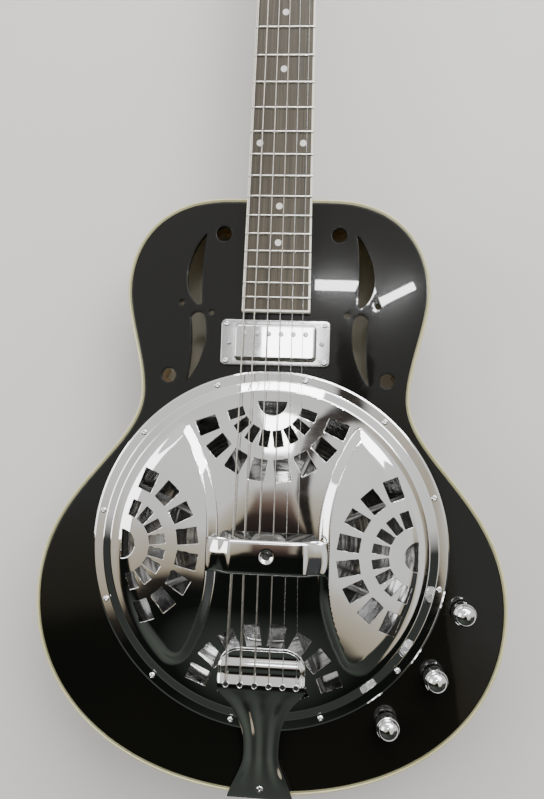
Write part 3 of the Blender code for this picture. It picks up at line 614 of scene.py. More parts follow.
def half_outline():
    ends = (TOP_END, UPPER_BOUT, WAIST, LOWER_BOUT, BOTTOM_END)
    ways = ((1, 0), (0, -1), (0, -1), (0, -1), (-1, 0))
    points = []
    for i, (out, back) in enumerate(HANDLES):
        a, d = Vector(ends[i]), Vector(ends[i + 1])
        points += bezier(a, a + Vector(ways[i]) * out, d - Vector(ways[i + 1]) * back, d, OUTLINE_STEPS[i])
    return points + [BOTTOM_END]


def whole_outline(inset=0.0):
    """The outline anticlockwise, moved inwards by inset."""
    half = half_outline()
    flat_end = [(TOP_END[0] * k / 4, TOP_END[1]) for k in (1, 2, 3)]
    right = flat_end + half
    loop = [(0.0, TOP_END[1])] + right + [(-x, y) for x, y in reversed(right) if x > 1e-6]
    return grown(anticlockwise(loop), -inset)


# ---------------------------------------------------------------- wooden body


def sound_holes(side):
    """The openings on one side of the fretboard: two crescents, two large round holes and two small ones."""
    upper = bezier((0.063, 0.262), (0.077, 0.248), (0.086, 0.215), (0.069, 0.2015), 30)
    upper += bezier((0.069, 0.2015), (0.067, 0.201), (0.066, 0.2015), (0.0655, 0.203), 6)
    upper += bezier((0.0655, 0.203), (0.0665, 0.222), (0.066, 0.248), (0.063, 0.262), 26)
    lower = bezier((0.0744, 0.191), (0.0725, 0.176), (0.0715, 0.156), (0.076, 0.136), 24)
    lower += bezier((0.076, 0.136), (0.0645, 0.150), (0.058, 0.172), (0.0625, 0.1915), 28)
    lower += bezier((0.0625, 0.1915), (0.065, 0.1965), (0.0715, 0.1965), (0.0744, 0.191), 12)
    rounds = [circle(0.0485, 0.2617, 0.00625, 40), circle(0.091, 0.141, 0.006, 40)]
    small = [circle(0.082, 0.2025, 0.0023, 20), circle(0.0567, 0.1946, 0.0023, 20)]
    return [[(side * x + HOLES_ASIDE, y) for x, y in hole] for hole in [upper, lower, *rounds, *small]]


def knob_centre(name):
    low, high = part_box(f"{name}_knob")
    return (low.x + high.x) / 2, (low.y + high.y) / 2


def make_top():
    inside = BINDING_WIDE + GAP
    holes = [hole for side in (-1, 1) for hole in sound_holes(side)]
    holes.append(circle(0, 0, WELL_MOUTH, 160))
    holes.append(rectangle(0, PICKUP_Y, PICKUP_SIZE[0] + 0.004, PICKUP_SIZE[1] + 0.004, 0.002))
    holes += [circle(*knob_centre(name), 0.0042, 24) for name in KNOBS]
    slab(
        "lacquered_top", whole_outline(inside), holes, TOP - TOP_THICK, TOP, [LACQUER, LACQUER, BIRCH],
        "black_lacquer", "top_plate", top_edge=0.0007,
    )


def make_binding_ring(name, node, low, high, line_at_top):
    """A cream binding with rounded outer edge, and a thin dark olive strip between it and the lacquer that
    paints the darker reflection in the binding's flat top.
    """
    edge = 0.0009
    seam = whole_outline(BINDING_WIDE - BINDING_LINE)
    verts, faces, _ = slab_mesh(whole_outline(), [seam], low, high, edge, edge)
    piece(name, verts, faces, CREAM, "cream_binding", node)
    line_low, line_high = (high - 0.002, high - 0.0001) if line_at_top else (low + 0.0001, low + 0.002)
    # the thin dark strip along the binding's inner side is painted reflection of its flat top
    slab(
        f"{name}_line", seam, [whole_outline(BINDING_WIDE)], line_low, line_high,
        REFLECTION_LINE_LOOK, "cream_binding", top_edge=0.0001, low_edge=0.0001,
    )


def make_rib(name, node, side):
    """Half the body's side wall: lacquer on its outer face, bare birch on the others."""
    low, high = BINDING_DEEP + GAP, TOP - BINDING_DEEP - GAP
    edge = GAP / 2
    half = half_outline()
    whole = [(0.0, TOP_END[1])] + half + [(-x, y) for x, y in reversed(half) if x > 1e-6]
    inner = [p for p in grown(anticlockwise(whole), -RIB_THICK) if p[0] > edge]
    inner.sort(key=lambda p: -angle_down(p))
    outer = [(edge, TOP_END[1])] + half[:-1] + [(edge, TAIL_Y)]
    inner = [(edge, TOP_END[1] - RIB_THICK)] + inner + [(edge, TAIL_Y + RIB_THICK)]
    loop = [(side * x, y) for x, y in outer + inner[::-1]]
    verts, faces, _ = slab_mesh(loop, [], low, high, 0.0001, 0.0001, 1)
    looks = []
    for face in faces:
        middle = sum((Vector(verts[i]) for i in face), Vector()) / len(face)
        looks.append(0 if outside_distance(middle, half) < RIB_THICK * 0.4 else 1)
    piece(name, verts, faces, [LACQUER, BIRCH], "black_lacquer", node, face_looks=looks)


def angle_down(point):
    """How far round a point of the treble half lies, from the tail up to the neck."""
    return math.atan2(point[1] - 0.03, point[0])


def outside_distance(point, half):
    """How far a point lies from the treble half of the outline, or its mirror image from the bass half."""
    corners = np.array([(0.0, TOP_END[1])] + half)
    starts, ways = corners[:-1], np.diff(corners, axis=0)
    here = np.array((abs(point.x), point.y)) - starts
    share = np.clip((here * ways).sum(1) / (ways * ways).sum(1), 0, 1)
    return float(np.min(np.linalg.norm(here - share[:, None] * ways, axis=1)))


def make_back():
    inside = BINDING_WIDE + GAP
    slab(
        "lacquered_back", whole_outline(inside), [], 0, BACK_THICK, [BIRCH, LACQUER, LACQUER],
        "black_lacquer", "back_plate", low_edge=0.0007,
    )


def make_linings():
    """Kerfed strips: a solid spine against the rib, cut into teeth on its inner side."""
    start = RIB_THICK + GAP
    outer, spine, full = (whole_outline(start + wide) for wide in (0, 0.0016, LINING_WIDE))
    inner = [far if i % 3 else near for i, (near, far) in enumerate(zip(spine, full))]
    for name, node, low in (
        ("kerfed_back_lining", "back_lining", BACK_THICK + GAP),
        ("kerfed_top_lining", "top_lining", TOP - TOP_THICK - GAP - LINING_DEEP),
    ):
        verts, faces, _ = slab_mesh(outer, [inner], low, low + LINING_DEEP, 0.0001, 0.0001, 1)
        piece(name, verts, faces, SPRUCE, "pale_wood", node)


def make_blocks():
    for end in ("neck", "tail"):
        rounded_block(f"fitted_{end}_block", f"{end}_block", SPRUCE, "pale_wood", 0.0015)


def make_soundwell():
    """The ring under the coverplate, with a ledge for the cone's rim and eight round ports."""
    low, high = BACK_THICK + GAP, TOP - TOP_THICK - GAP
    port_high, port_radius, port_deep = 0.038, 0.020, 0.02
    profile = [
        (WELL_OUTER, low), (WELL_OUTER, high), (WELL_MOUTH, high), (WELL_MOUTH, WELL_LEDGE),
        (WELL_INNER, WELL_LEDGE), (WELL_INNER, low),
    ]
    well = turned("ply_soundwell", profile, BIRCH, "pale_wood", "soundwell_ring", segments=96, closed=True)
    for k in range(8):
        turn = math.radians(22.5 + 45 * k)
        way = Vector((math.cos(turn), math.sin(turn), 0))
        middle = way * WELL_OUTER + Vector((0, 0, port_high))
        cut_bore(well, along_axis(middle, way), port_radius, -port_deep, port_deep, 40)
    apply_cuts(well)


def cut_away(made, verts, faces, matrix=None):
    """Cuts a closed shape, put in its place by matrix, out of a piece. apply_cuts finishes the cut."""
    cutter = mesh_object("cutter", verts, faces)
    if matrix is not None:
        move(cutter, matrix)
    cut = made.modifiers.new("cut", "BOOLEAN")
    cut.operation = "DIFFERENCE"
    cut.object = cutter


def cut_bore(made, matrix, radius, low, high, segments=48):
    """Cuts a round hole along matrix's Z axis, from low to high."""
    cut_away(made, *turned_mesh([(0, low), (radius, low), (radius, high), (0, high)], segments), matrix)


def apply_cuts(made):
    """Makes a piece's cuts part of its mesh and removes the cutters."""
    cutters = {m.object for m in made.modifiers if m.type == "BOOLEAN"}
    graph = bpy.context.evaluated_depsgraph_get()
    for modifier in list(made.modifiers):
        if modifier.type == "WEIGHTED_NORMAL":
            made.modifiers.remove(modifier)
    graph.update()
    baked = bpy.data.meshes.new_from_object(made.evaluated_get(graph))
    made.modifiers.clear()
    made.data = baked
    baked.set_sharp_from_angle(angle=math.radians(35))
    flatten_faces(made)
    for cutter in cutters:
        bpy.data.objects.remove(cutter)


# ---------------------------------------------------------------- resonator


def make_cone():
    """The spun bowl under the coverplate, with fine turning rings and a rolled rim."""
    rim = WELL_LEDGE + GAP
    thick, roll = 0.0011, 0.0006
    ring_high, ring_pitch, ring_inner, ring_outer = 0.00006, 0.0038, 0.022, 0.120
    shape = ((0.0, 0.0622), (0.012, 0.0618), (0.020, 0.0602), (0.032, 0.0566), (0.050, 0.0520),
             (0.066, 0.0490),
             (0.076, 0.0482), (0.086, 0.0494), (0.100, 0.0560), (0.114, 0.0638), (0.122, 0.0684),
             (0.125, rim),
             (CONE_RADIUS - 0.001, rim))
    under = []
    for (r0, z0), (r1, z1) in zip(shape, shape[1:]):
        steps = max(2, round((r1 - r0) / 0.0012))
        for k in range(steps):
            t = k / steps
            r = r0 + (r1 - r0) * t
            ripple = ring_high * math.sin(r / ring_pitch * math.tau) if ring_inner < r < ring_outer else 0
            under.append((r, z0 + (z1 - z0) * t + ripple))
    under += [(CONE_RADIUS - roll, rim), (CONE_RADIUS, rim + roll)]
    above = [(r, z + thick) for r, z in reversed(under[:-1])]
    turned("spun_cone", under + above, SPUN, "spun_aluminium", "resonator_cone", segments=144, round_by=0)


def spider_leg(turn):
    """A leg of the casting, with a rib along its top and a foot on the cone's rim."""
    foot = WELL_LEDGE + 2 * GAP + 0.0012
    spine = (
        # distance from the middle, underside, top of the rib, half width
        (0.010, 0.0830, 0.0895, 0.0030), (0.030, 0.0830, 0.0890, 0.0028), (0.060, 0.0825, 0.0880, 0.0024),
        (0.090, 0.0788, 0.0845, 0.0022), (0.112, 0.0745, 0.0800, 0.0021),
        (0.122, foot + 0.0005, 0.0785, 0.0024),
        (0.126, foot, 0.0780, 0.0030), (0.130, foot, 0.0770, 0.0030),
    )
    sections = []
    for r, low, high, half in spine:
        right = [(half, low), (half, low + 0.0016), (half * 0.45, low + 0.0024), (half * 0.4, high)]
        ring = [(-half, low)] + right + [(-y, z) for y, z in right[:0:-1]]
        sections.append([turn @ Vector((r, y, z)) for y, z in ring])
    return lofted_mesh(sections)


def make_spider():
    """The eight-legged casting, whose hub holds a saddle on each side of the tension screw."""
    parts = [spider_leg(Matrix.Rotation(math.radians(22.5 + 45 * k), 4, "Z")) for k in range(8)]
    core = [(0.0026, 0.0835), (0.0165, 0.0835), (0.0165, 0.0885), (0.0120, 0.0900), (0.0026, 0.0900)]
    parts.append(turned_mesh(softened(core, 0.0006, closed=True), 48, closed=True))
    for side in (-1, 1):
        pad = [(side * x, y) for x, y in rectangle(0.01755, 0, 0.0279, 0.011, 0.002)]
        parts.append(slab_mesh(pad, [], HUB_TOP - 0.008, HUB_TOP, 0.0006, 0.0004)[:2])
    piece("cast_spider", *joined(parts), CAST, "cast_aluminium", "spider_bridge")
    for hand in ("bass", "treble"):
        rounded_block(f"maple_{hand}_saddle", f"{hand}_saddle", MAPLE, "maple", 0.0005)


def sink_recess(verts, faces, segments, recess, drop, taper=1.0):
    """Fills a turned head's open top ring with a flat face, and sinks a recess into it."""
    ring = list(range(len(verts) - segments, len(verts)))
    z = verts[-1][2]
    _, tris, first = cut_sheet([verts[i][:2] for i in ring], [recess])
    start, count = len(verts), len(recess)
    floor = start + count
    verts += [(x, y, z) for x, y in recess] + [(x * taper, y * taper, z - drop) for x, y in recess]
    order = ring + list(range(start, floor))
    faces += [[order[first[i]] for i in tri] for tri in tris]
    for i in range(count):
        nxt = (i + 1) % count
        faces.append([start + nxt, start + i, floor + i, floor + nxt])
    faces.append([floor + i for i in range(count)])


def make_tension_screw():
    head = HUB_TOP + GAP
    shank = [(0, 0.0640), (0.0018, 0.0640), (0.0022, 0.0646), (0.0022, head), (0.0034, head),
             (0.0034, head + 0.0016), (0.0026, head + 0.0029)]
    arm, half = 0.0021, 0.0005
    cross = [(arm, half), (half, half), (half, arm)]
    cross += [(-y, x) for x, y in cross] + [(-x, -y) for x, y in cross] + [(y, -x) for x, y in cross]
    verts, faces = turned_mesh(softened(shank, 0.0003), 48)
    sink_recess(verts, faces, 48, cross, 0.0016, 0.8)
    piece("cross_head_tension_screw", verts, faces, STEEL, "steel", "tension_screw")


def soft_ramp(value, soft=0.14):
    """From 0 to 1 in a straight slope whose two ends are tightly rounded, as a press leaves a step."""
    t = min(max(value, 0.0), 1.0)
    bend = 2 * soft * (1 - soft)
    if t < soft:
        return t * t / bend
    if t > 1 - soft:
        return 1 - (1 - t) ** 2 / bend
    return (t - soft / 2) / (1 - soft)


def ridge_x(y):
    """Half the width of the string channel at y: narrow beside the palm rest, flaring to the rim."""
    reach = max(abs(y) - 0.015, 0) / 0.082
    return 0.0410 + 0.0255 * reach ** 2


def cover_top(x, y):
    """The coverplate's upper face: flange, shoulder, low dome, and an egg-shaped lobe each side of the
    strings."""
    radius = math.hypot(x, y)
    base = TOP + GAP + PLATE_THICK
    lip = 0.0005 * smooth_step((radius - PLATE_RADIUS + 0.0014) / 0.0014)
    shoulder = SHOULDER_HIGH * soft_ramp((PLATE_FLANGE - radius) / (PLATE_FLANGE - PLATE_SHOULDER))
    dome = DOME_HIGH * smooth_step((PLATE_SHOULDER - radius) / DOME_REACH)
    across = (abs(x) - 0.045) / 0.078
    crown = 1.1 - 0.90 * across + 0.30 * across ** 2 - 0.14 * (y / 0.095) ** 2
    lobe = LOBE_HIGH * lobe_wall(abs(x) - ridge_x(y), LOBE_OUTER - radius, y) * max(crown, 0.2)
    return base - lip + shoulder + dome + lobe


def lobe_wall(from_channel, from_rim, y):
    """How far up its wall a point of a lobe stands, from 0 to 1. The corner towards the tail is a round
    one."""
    corner = 0.006 + 0.016 * smooth_step(-y / 0.05)
    beside, behind = max(corner - from_channel, 0), max(corner - from_rim, 0)
    inside = max(corner, min(from_channel, from_rim)) - math.hypot(beside, behind)
    share = smooth_step(0.5 + (from_channel - from_rim) / 0.03)
    return soft_ramp(inside / (LOBE_WALL + (LOBE_FADE - LOBE_WALL) * share), 0.2 + 0.25 * share)


def fan_holes(turn, centre):
    """One fan of punched holes: a half-round opening near the rim, then two rows of wedges about its centre.

    centre is how far the fan's own middle lies from the plate's, and turn the way to it."""
    def placed(points):
        c, s = math.cos(turn), math.sin(turn)
        return [(c * x - s * y, s * x + c * y) for x, y in points]

    def edge(a, b, steps):
        return [(a[0] + (b[0] - a[0]) * k / steps, a[1] + (b[1] - a[1]) * k / steps) for k in range(steps)]

    arc = [
        (centre - FAN_HALF_ROUND * math.cos(a), FAN_HALF_ROUND * math.sin(a))
        for a in (math.radians(-88 + 8 * k) for k in range(23))
    ]
    out = [placed(arc[:-1] + edge(arc[-1], arc[0], 14))]
    for radius, deep, wide, spread in FAN_ROWS:
        near, far = radius - deep / 2, radius + deep / 2
        half = wide / 2 / radius
        for k in range(8):
            middle = math.radians(-spread + 2 * spread * k / 7)
            near_half, far_half = half * radius / near * 0.94, half * radius / far * 1.03
            corners = ((near, -near_half), (far, -far_half), (far, far_half), (near, near_half))
            flat = [(centre - r * math.cos(middle + a), r * math.sin(middle + a)) for r, a in corners]
            out.append(placed(rounded_corners(flat)))
    return out


def rounded_corners(corners, radius=0.0006, steps=3, along=4):
    """A four-sided hole with its corners softened and each side in several lengths."""
    flat = [Vector(p) for p in corners]
    out = []
    for i, here in enumerate(flat):
        before, after = flat[i - 1], flat[(i + 1) % 4]
        start = here + (before - here).normalized() * radius
        end = here + (after - here).normalized() * radius
        finish = after + (here - after).normalized() * radius
        out += corner_curve(start, here, end, steps)
        out += [tuple(end.lerp(finish, k / along)) for k in range(1, along)]
    return out


def sheet_filling(outer, edges, spacing, reach):
    """A triangular grid of points inside reach of the middle, clear of the edges' points."""
    lowest, highest = np.array(outer).min(0), np.array(outer).max(0)
    xs = np.arange(lowest[0], highest[0], spacing)
    ys = np.arange(lowest[1], highest[1], spacing * math.sqrt(3) / 2)
    grid = np.array([(x + (spacing / 2 if j % 2 else 0), y) for j, y in enumerate(ys) for x in xs])
    grid = grid[np.hypot(grid[:, 0], grid[:, 1]) < reach - spacing / 2]
    keep = np.ones(len(grid), bool)
    batch = 2000
    for start in range(0, len(grid), batch):
        block = grid[start:start + batch]
        nearest = np.min(np.hypot(*(block[:, None, :] - edges[None]).transpose(2, 0, 1)), axis=1)
        keep[start:start + batch] = nearest > spacing * 0.45
    return [tuple(p) for p in grid[keep]]


def set_sheet_normals(made, verts, drop, height):
    """Gives a sheet's corners the normals of height itself, part flattened at its edges, where drop isn't
    0."""
    count = len(drop)
    tiny = 1e-5
    ups = []
    for x, y, _ in verts[:count]:
        slope_x = (height(x + tiny, y) - height(x - tiny, y)) / (2 * tiny)
        slope_y = (height(x, y + tiny) - height(x, y - tiny)) / (2 * tiny)
        ups.append(Vector((-slope_x, -slope_y, 1)).normalized())
    corner_normals = []
    for face in made.data.polygons:
        flat = face.normal.copy()
        for v in face.vertices:
            if abs(flat.z) < 0.3:
                corner_normals.append(flat)
                continue
            normal = ups[v] if v < count else -ups[v - count]
            at_rim = drop[v % count] > 0
            corner_normals.append((normal + (flat - normal) * 0.6).normalized() if at_rim else normal)
    made.data.normals_split_custom_set([tuple(n) for n in corner_normals])


def height_sheet(name, outer, holes, height, thick, spacing, look, slot, stands_for, rings, lip=0.00035):
    """A pressed sheet whose upper face follows height(x, y), with softened hole edges and true normals.

    rings are the radii of circles of points for its outer part, where the shape is round about the middle."""
    outer = anticlockwise(outer)
    holes = [anticlockwise(h) for h in holes]
    rims = [grown(outer, -lip)] + [grown(h, lip) for h in holes]
    edges = np.array([p for loop in [outer, *holes, *rims] for p in loop])
    round_points = [p for radius in rings for p in circle(0, 0, radius, len(outer))]
    extra = [p for rim in rims for p in rim] + round_points + sheet_filling(outer, edges, spacing, min(rings))
    spots, tris, first = cut_sheet(outer, holes, extra)
    border = sum(len(loop) for loop in [outer, *holes])
    used = sorted({i for tri in tris for i in tri})
    place = {old: new for new, old in enumerate(used)}
    count = len(used)
    drop = [lip * 0.6 if first[i] < border else 0.0 for i in used]
    verts = [(*spots[i], height(*spots[i]) - d) for i, d in zip(used, drop)]
    verts += [(x, y, z - thick + 2 * d) for (x, y, z), d in zip(verts, drop)]
    top = [[place[i] for i in tri] for tri in tris]
    under = [[i + count for i in reversed(tri)] for tri in top]
    directed = {(tri[k], tri[(k + 1) % 3]) for tri in top for k in range(3)}
    walls = [[b, a, a + count, b + count] for a, b in sorted(directed) if (b, a) not in directed]
    made = piece(name, verts, top + under + walls, look, slot, stands_for, sharp=0, flats=False)
    set_sheet_normals(made, verts, drop, height)


def make_coverplate():
    holes = []
    for quarter, centre in enumerate(FAN_CENTRES):
        holes += fan_holes(math.radians(90 * quarter), centre)
    middle = (SLOT_LOW + SLOT_HIGH) / 2
    holes.append(rectangle(0, middle, 2 * SLOT_HALF_WIDE, SLOT_HIGH - SLOT_LOW, 0.0038, 10))
    slope = PLATE_FLANGE - PLATE_SHOULDER
    rings = [PLATE_SHOULDER - 0.0032, PLATE_SHOULDER - 0.0016]
    rings += [PLATE_SHOULDER + slope * t for t in (0.0, 0.05, 0.1, 0.15, 0.3, 0.5, 0.7, 0.85, 0.9, 0.95, 1.0)]
    rings += [PLATE_FLANGE + 0.0015, PLATE_FLANGE + 0.0035]
    rings += [PLATE_RADIUS - inset for inset in (0.0024, 0.0016, 0.0011, 0.0007)]
    height_sheet(
        "pressed_coverplate", circle(0, 0, PLATE_RADIUS, 360), holes, cover_top, PLATE_THICK, 0.0013,
        CHROME, "chrome", "coverplate", rings=rings,
    )
    for k in range(12):
        turn = math.radians(90) - math.radians(15 + 30 * k) - SCREW_PHASE
        x, y = SCREW_CIRCLE * math.cos(turn), SCREW_CIRCLE * math.sin(turn)
        small_screw(f"coverplate_screw_{k + 1}", (x, y, cover_top(x, y)), 0.0024, 0.0015, turn * 3)


def small_screw(name, place, radius, high, turn, look=CHROME):
    """A domed screw head with a cross recess."""
    steps, segments = 5, 20
    reach = math.radians(80)
    dome = [(radius * math.cos(reach * k / steps),
             high * math.sin(reach * k / steps)) for k in range(steps + 1)]
    verts, faces = turned_mesh([(0, -0.0001)] + dome, segments)
    centre = len(verts)
    ring = range(centre - segments, centre)
    verts.append((0, 0, high * 0.55))
    faces += [[ring[i], ring[(i + 1) % segments], centre] for i in range(segments)]
    arm, half = radius * 0.62, radius * 0.13
    for i, (x, y, z) in enumerate(verts):
        near_arm = min(abs(x), abs(y)) < half * 1.6 and max(abs(x), abs(y)) < arm
        if near_arm and z > high * 0.5:
            verts[i] = (x, y, z - high * 0.35)
    made = piece(name, verts, faces, look, "chrome", sharp=50)
    return move(made, Matrix.Translation(place) @ Matrix.Rotation(turn, 4, "Z"))


def make_palm_rest():
    """An arch over the saddle whose ends flow down on to the lobes, with a dished hole over the tension
    screw."""
    low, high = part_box("palm_rest")
    half = high.x
    thick = 0.0012
    foot = low.z + thick
    crest = high.z - 0.0002
    middle_y, half_y = (low.y + high.y) / 2, (high.y - low.y) / 2
    flat_half = 0.0285
    hole_y, hole_radius, dish_radius = -0.0018, 0.0034, 0.0055

    def arch(x):
        """Height along the arch: nearly flat in the middle, then a curve down that ends level with the
        lobe."""
        reach = abs(x)
        if reach <= flat_half:
            return crest - 0.0004 * (reach / flat_half) ** 2
        t = (half - reach) / (half - flat_half)
        return foot + (crest - 0.0004 - foot) * smooth_step(t) ** 1.1

    def surface(x, y):
        v = (y - middle_y) / half_y
        crown = 0.0006 * v * v + 0.0016 * max(abs(v) - 0.82, 0) ** 2 / 0.18 ** 2
        shoulder = smooth_step((abs(x) - 0.030) / 0.010)
        knuckle = 0.0012 * shoulder * v * v
        fade = smooth_step((half - abs(x)) / 0.010)
        away = math.hypot(x, y - hole_y)
        dish = 0.0012 * (1 - smooth_step((away - hole_radius) / (dish_radius - hole_radius)))
        return max(arch(x) - (crown + knuckle) * fade - dish, foot - 0.0004)

    columns = [half * k / 60 for k in range(61)]
    xs = [-x for x in reversed(columns[1:])] + columns
    rows = [low.y + (high.y - low.y) * (0.5 - 0.5 * math.cos(math.pi * k / 40)) for k in range(41)]
    grid = [
        [(Vector((x, y, surface(x, y))), Vector((x, y, surface(x, y) - thick))) for y in rows] for x in xs
    ]
    made = piece("polished_palm_rest", *sheet_from_grid(grid), CHROME, "chrome", "palm_rest", sharp=50,
                 flats=False)
    cut_bore(made, Matrix.Translation((0, hole_y, crest)), hole_radius, -0.01, 0.01)
    apply_cuts(made)


# ---------------------------------------------------------------- tailpiece and strings


def make_tailpiece():
    """A pressed strap with long flutes, its head a rounded hood that the strings cross to their ball ends."""
    thick = 0.0013
    path = (
        # y, upper face above the top, half width, depth of the flutes, middle
        (-0.1050, 0.0103, 0.0344, 0.0, -0.0017), (-0.1090, 0.0106, 0.0351, 0.0, -0.0016),
        (-0.1130, 0.0104, 0.0338, 0.0001, -0.0014), (-0.1170, 0.0100, 0.0303, 0.0004, -0.0013),
        (-0.1210, 0.0095, 0.0266, 0.0008, -0.0012), (-0.1260, 0.0090, 0.0231, 0.0012, -0.0010),
        (-0.1310, 0.0085, 0.0203, 0.0015, -0.0008), (-0.1400, 0.0076, 0.0166, 0.0017, -0.0004),
        (-0.1480, 0.0069, 0.0148, 0.0018, 0.0), (-0.1560, 0.0061, 0.0141, 0.0018, 0.0),
        (-0.1640, 0.0052, 0.0141, 0.0018, 0.0), (-0.1700, 0.0044, 0.0150, 0.0016, 0.0),
        (-0.1770, 0.0037, 0.0174, 0.0013, 0.0), (-0.1840, 0.0034, 0.0206, 0.0008, 0.0),
        (-0.1905, 0.0033, 0.0236, 0.0002, 0.0), (TAIL_Y - 0.0006, 0.0030, 0.0267, 0.0, 0.0),
        (TAIL_Y - 0.0019, 0.0022, 0.0268, 0.0, 0.0), (TAIL_Y - 0.0024, 0.0006, 0.0265, 0.0, 0.0),
        (TAIL_Y - 0.0024, -0.0060, 0.0248, 0.0, 0.0), (TAIL_Y - 0.0024, -0.0240, 0.0200, 0.0, 0.0),
        (TAIL_Y - 0.0024, -0.0410, 0.0150, 0.0, 0.0), (TAIL_Y - 0.0024, -0.0490, 0.0120, 0.0, 0.0),
    )
    rows = smooth_rows(path, 5)
    across = 60
    slant, waves = 0.06, 3.2
    grid = []
    for i, (y, above_top, half, flute, middle) in enumerate(rows):
        before, after = rows[max(i - 1, 0)], rows[min(i + 1, len(rows) - 1)]
        along = Vector((0, after[0] - before[0], after[1] - before[1])).normalized()
        out = Vector((0, along.z, -along.y))
        line = []
        for k in range(across + 1):
            u = -1 + 2 * k / across
            wave = flute * (0.5 + 0.5 * math.cos((u - slant) * math.pi * waves)) + 0.5 * flute * (1 - u * u)
            upper = Vector((middle + u * half, y, TOP + above_top)) + out * wave * 0.6
            line.append((upper, upper - out * thick))
        grid.append(line)
    made = piece("fluted_tailpiece", *sheet_from_grid(grid), CHROME, "chrome", "tailpiece", sharp=50,
                 flats=False)
    pin_low, pin_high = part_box("end_pin")
    pin_z = (pin_low.z + pin_high.z) / 2
    cut_bore(made, along_axis((0, TAIL_Y, pin_z), (0, -1, 0)), 0.0048, -0.01, 0.01)
    apply_cuts(made)
    make_hood()
    small_screw("tailpiece_foot_screw", (0.0, TAIL_Y + 0.0060, TOP + 0.0031), 0.0030, 0.0013, 0.5)
    pin = [
        (0, 0), (0.0042, 0), (0.0042, 0.014), (0.0080, 0.014), (0.0080, 0.0153), (0.0056, 0.0168),
        (0.0048, 0.0185),
        (0.0048, 0.0208), (0.0058, 0.0228), (0.0072, 0.0240), (0.0072, 0.0258), (0.0062, 0.0275), (0, 0.0275),
    ]
    turned("polished_end_pin", pin, CHROME, "chrome", "end_pin",
           along_axis((0, pin_high.y, pin_z), (0, -1, 0)),
           round_by=0.0006)


def smooth_rows(rows, steps):
    """More rows between the given ones, on a Catmull-Rom curve through them."""
    out = []
    data = [np.array(r) for r in rows]
    for i in range(len(data) - 1):
        p0, p1, p2, p3 = data[max(i - 1, 0)], data[i], data[i + 1], data[min(i + 2, len(data) - 1)]
        for k in range(steps):
            t = k / steps
            out.append(tuple(0.5 * (2 * p1 + (p2 - p0) * t + (2 * p0 - 5 * p1 + 4 * p2 - p3) * t * t
                                    + (3 * p1 - p0 - 3 * p2 + p3) * t ** 3)))
    out.append(tuple(data[-1]))
    return out


def sheet_from_grid(grid):
    """A closed thin sheet from rows of (upper, lower) point pairs."""
    wide, tall = len(grid[0]), len(grid)
    verts = [pair[0] for row in grid for pair in row] + [pair[1] for row in grid for pair in row]
    under = wide * tall
    faces = []
    for j in range(tall - 1):
        for i in range(wide - 1):
            a, b, c, d = j * wide + i, (j + 1) * wide + i, (j + 1) * wide + i + 1, j * wide + i + 1
            faces += [[a, b, c, d], [under + d, under + c, under + b, under + a]]
    last = (tall - 1) * wide
    for i in range(wide - 1):
        faces.append([i, i + 1, under + i + 1, under + i])
        faces.append([last + i + 1, last + i, under + last + i, under + last + i + 1])
    for j in range(tall - 1):
        a, b = j * wide, (j + 1) * wide
        faces.append([b, a, under + a, under + b])
        a, b = a + wide - 1, b + wide - 1
        faces.append([a, b, under + b, under + a])
    return verts, faces


def hood_profile():
    """The hood's upper face along its middle, from front to back, as (y, height above the top): two steps
    up."""
    knots = ((HOOD_FRONT, 0.0090), (-0.0800, 0.0092), (-0.0855, 0.0086), (-0.0892, 0.0094), (-0.0930, 0.0103),
             (-0.0984, 0.0100), (-0.1020, 0.0108), (HOOD_BACK, 0.0119))
    return smooth_rows(knots, 6)


def hood_outline(inset):
    """The hood's edge from its bass back corner round the front to its treble one, as (x, y)."""
    corner = HOOD_CORNER - inset
    reach = HOOD_HALF - HOOD_CORNER
    level = HOOD_FRONT - HOOD_CORNER
    bass = [(-reach - corner, HOOD_BACK + (level - HOOD_BACK) * k / 8) for k in range(8)]
    bass += [(-reach - corner * math.cos(math.radians(6 * k)), level + corner * math.sin(math.radians(6 * k)))
             for k in range(16)]
    bass += [(-reach * (1 - k / 12), level + corner) for k in range(1, 13)]
    half = [(HOOD_X + x, y) for x, y in bass]
    return half + [(2 * HOOD_X - x, y) for x, y in reversed(half[:-1])]


def make_hood():
    """The head of the tailpiece: a shell stepped from front to back, with round front corners and a beaded
    edge."""
    thick = 0.0010
    rows = hood_profile()
    ys, heights = [y for y, _ in rows], [z for _, z in rows]

    def height(y):
        return TOP + float(np.interp(-y, [-v for v in ys], heights))

    across = 48
    steps = 60
    grid = []
    for i in range(steps + 1):
        y = HOOD_FRONT + (HOOD_BACK - HOOD_FRONT) * (i / steps) ** 1.7
        into_corner = max(HOOD_CORNER - (HOOD_FRONT - y), 0)
        half = HOOD_HALF - HOOD_CORNER + math.sqrt(HOOD_CORNER ** 2 - into_corner ** 2)
        line = []
        for k in range(across + 1):
            u = math.sin(math.pi / 2 * (-1 + 2 * k / across))
            bend = 0.0012 * max(0.0, abs(u * half) - 0.0300) ** 2 / 0.005 ** 2
            upper = Vector((HOOD_X + u * half, y, height(y) - bend))
            line.append((upper, upper - Vector((0, 0, thick))))
        grid.append(line)
    piece("tailpiece_hood", *sheet_from_grid(grid), CHROME, "chrome", sharp=50, flats=False)
    for name, inset, radius in (("hood_outer_bead", 0.0002, 0.00048), ("hood_inner_bead", 0.0021, 0.00032)):
        line = [(x, y, height(y) - 0.0012 * (abs(x - HOOD_X) > 0.034)) for x, y in hood_outline(inset)]
        piece(name, *swept_mesh(line, [radius] * len(line), 10), CHROME, "chrome", sharp=0, flats=False)


def head_place(x, y, z):
    """The matrix to a point in the headstock's own axes: y along it and z out of its face, from beside the
    nut."""
    start = Matrix.Translation((0, NUT_Y + NUT_LONG + 0.001, TOP - GAP))
    return start @ Matrix.Rotation(-HEAD_ANGLE, 4, "X") @ Matrix.Translation((x, y, z))


